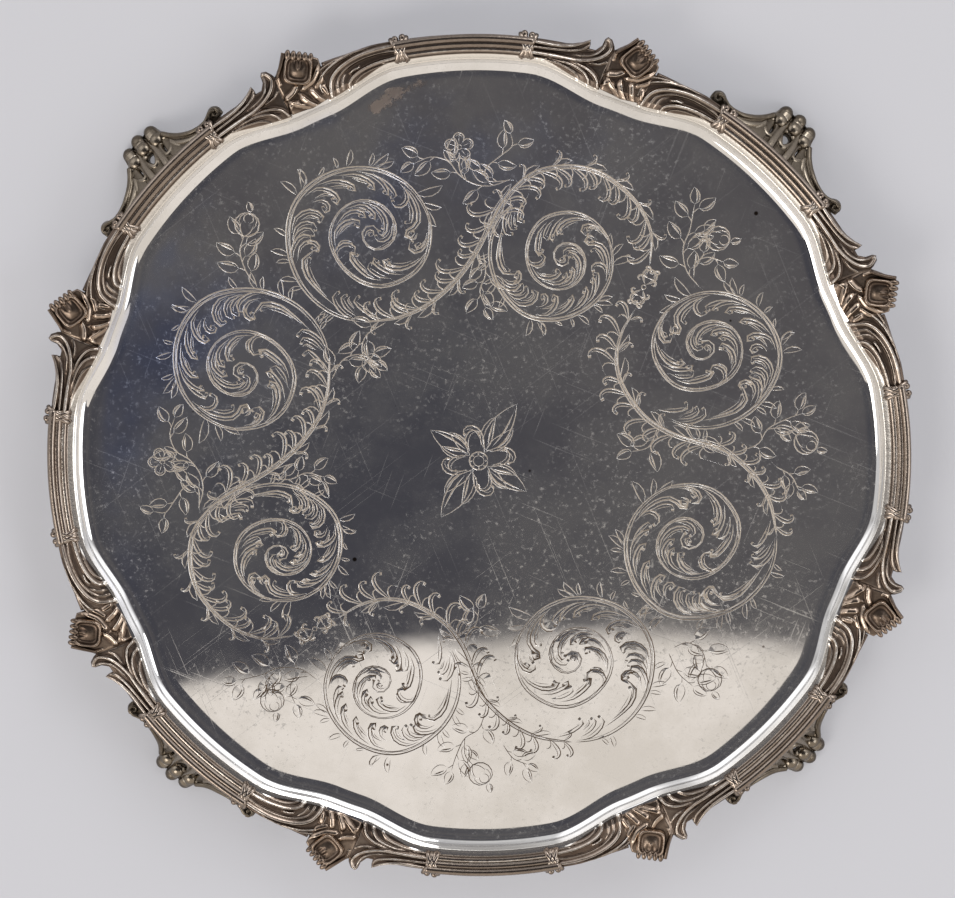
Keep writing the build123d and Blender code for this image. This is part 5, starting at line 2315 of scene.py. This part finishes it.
# ---------------------------------------------------------------- the salver

class Salver:
    """The whole salver, piece by piece."""

    def __init__(self) -> None:
        """Makes the finishes and the makers of repeated work."""
        relief = relief_group()
        self.sheet_finish = SheetFinish(
            "old_polished_silver", silver=(0.87, 0.86, 0.85, 1), cloud=(0.62, 0.60, 0.56, 1),
            # The second cut colour is painted shade for the cuts towards -Y.
            groove=(0.40, 0.345, 0.285, 1), shaded_groove=(0.105, 0.075, 0.052, 1), copper=(0.46, 0.36, 0.30, 1),
            pit=(0.10, 0.07, 0.05, 1), film=(0.52, 0.62, 0.93, 1), polish=0.018, groove_rough=0.48,
            patch_angle=101.5, patch_radius=154.0).make(mottle_group(), scratch_group())
        self.border_finish = CastFinish(
            "tarnished_border_silver", crest=(0.36, 0.30, 0.25, 1), hollow=(0.095, 0.070, 0.055, 1),
            stain=(0.165, 0.122, 0.095, 1), bright=(0.82, 0.78, 0.72, 1), low=0.22, high=0.92, bright_rough=0.26,
            crest_rough=0.19, hollow_rough=0.33, skin=0.35).make(relief)
        self.shell_finish = CastFinish(
            "tarnished_shell_silver", crest=(0.44, 0.345, 0.27, 1), hollow=(0.085, 0.060, 0.045, 1),
            stain=(0.17, 0.125, 0.095, 1), bright=(0.74, 0.67, 0.58, 1), low=0.24, high=0.92, bright_rough=0.18,
            crest_rough=0.20, hollow_rough=0.35, skin=0.4).make(relief)
        self.foot_finish = CastFinish(
            "tarnished_foot_silver", crest=(0.30, 0.255, 0.20, 1), hollow=(0.085, 0.068, 0.05, 1),
            stain=(0.15, 0.122, 0.09, 1), bright=(0.62, 0.56, 0.47, 1), low=0.2, high=0.95, bright_rough=0.2,
            crest_rough=0.22, hollow_rough=0.33, skin=0.45).make(relief)
        self.makers = Makers(self.border_finish)

    @staticmethod
    def place(casting: Casting, node: str, material: bpy.types.Material, slot: Slot) -> None:
        """Puts a casting in the place of its CAD node.

        Args:
            casting: The casting.
            node: The name of its CAD node.
            material: Its finish.
            slot: Its material slot.
        """
        piece = casting.build(material, slot)
        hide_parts(node)
        LOG.info("%s: %d vertices, %d faces", node, casting.count, sum(len(group) for group in casting.faces))

    def build(self) -> None:
        """Makes every piece."""
        cuts = Engraver().draw()
        LOG.info("engraving: %d cuts", len(cuts))
        sheet = Sheet().build(cuts, "silver_sheet")
        self.place(sheet, "salver_plate", self.sheet_finish, Slot.SHEET)
        section = BorderSection().build(self.makers)
        mount = ShellMount().build(self.makers)
        for index in range(REPEATS):
            self.place(section.turned(f"border_cast_{index + 1}", index * PITCH), f"border_section_{index + 1}",
                       self.border_finish, Slot.BORDER)
            self.place(mount.turned(f"shell_cast_{index + 1}", index * PITCH), f"shell_{index + 1}",
                       self.shell_finish, Slot.SHELL)
        foot = Foot().build()
        for index in range(FEET):
            self.place(foot.turned(f"foot_cast_{index + 1}", PITCH + index * 360 / FEET), f"foot_{index + 1}",
                       self.foot_finish, Slot.FOOT)


def main() -> None:
    """Builds the studio and the salver."""
    logging.basicConfig(level=logging.INFO, format="%(name)s: %(message)s")
    Studio().build()
    Salver().build()


if __name__ == "__main__":
    main()
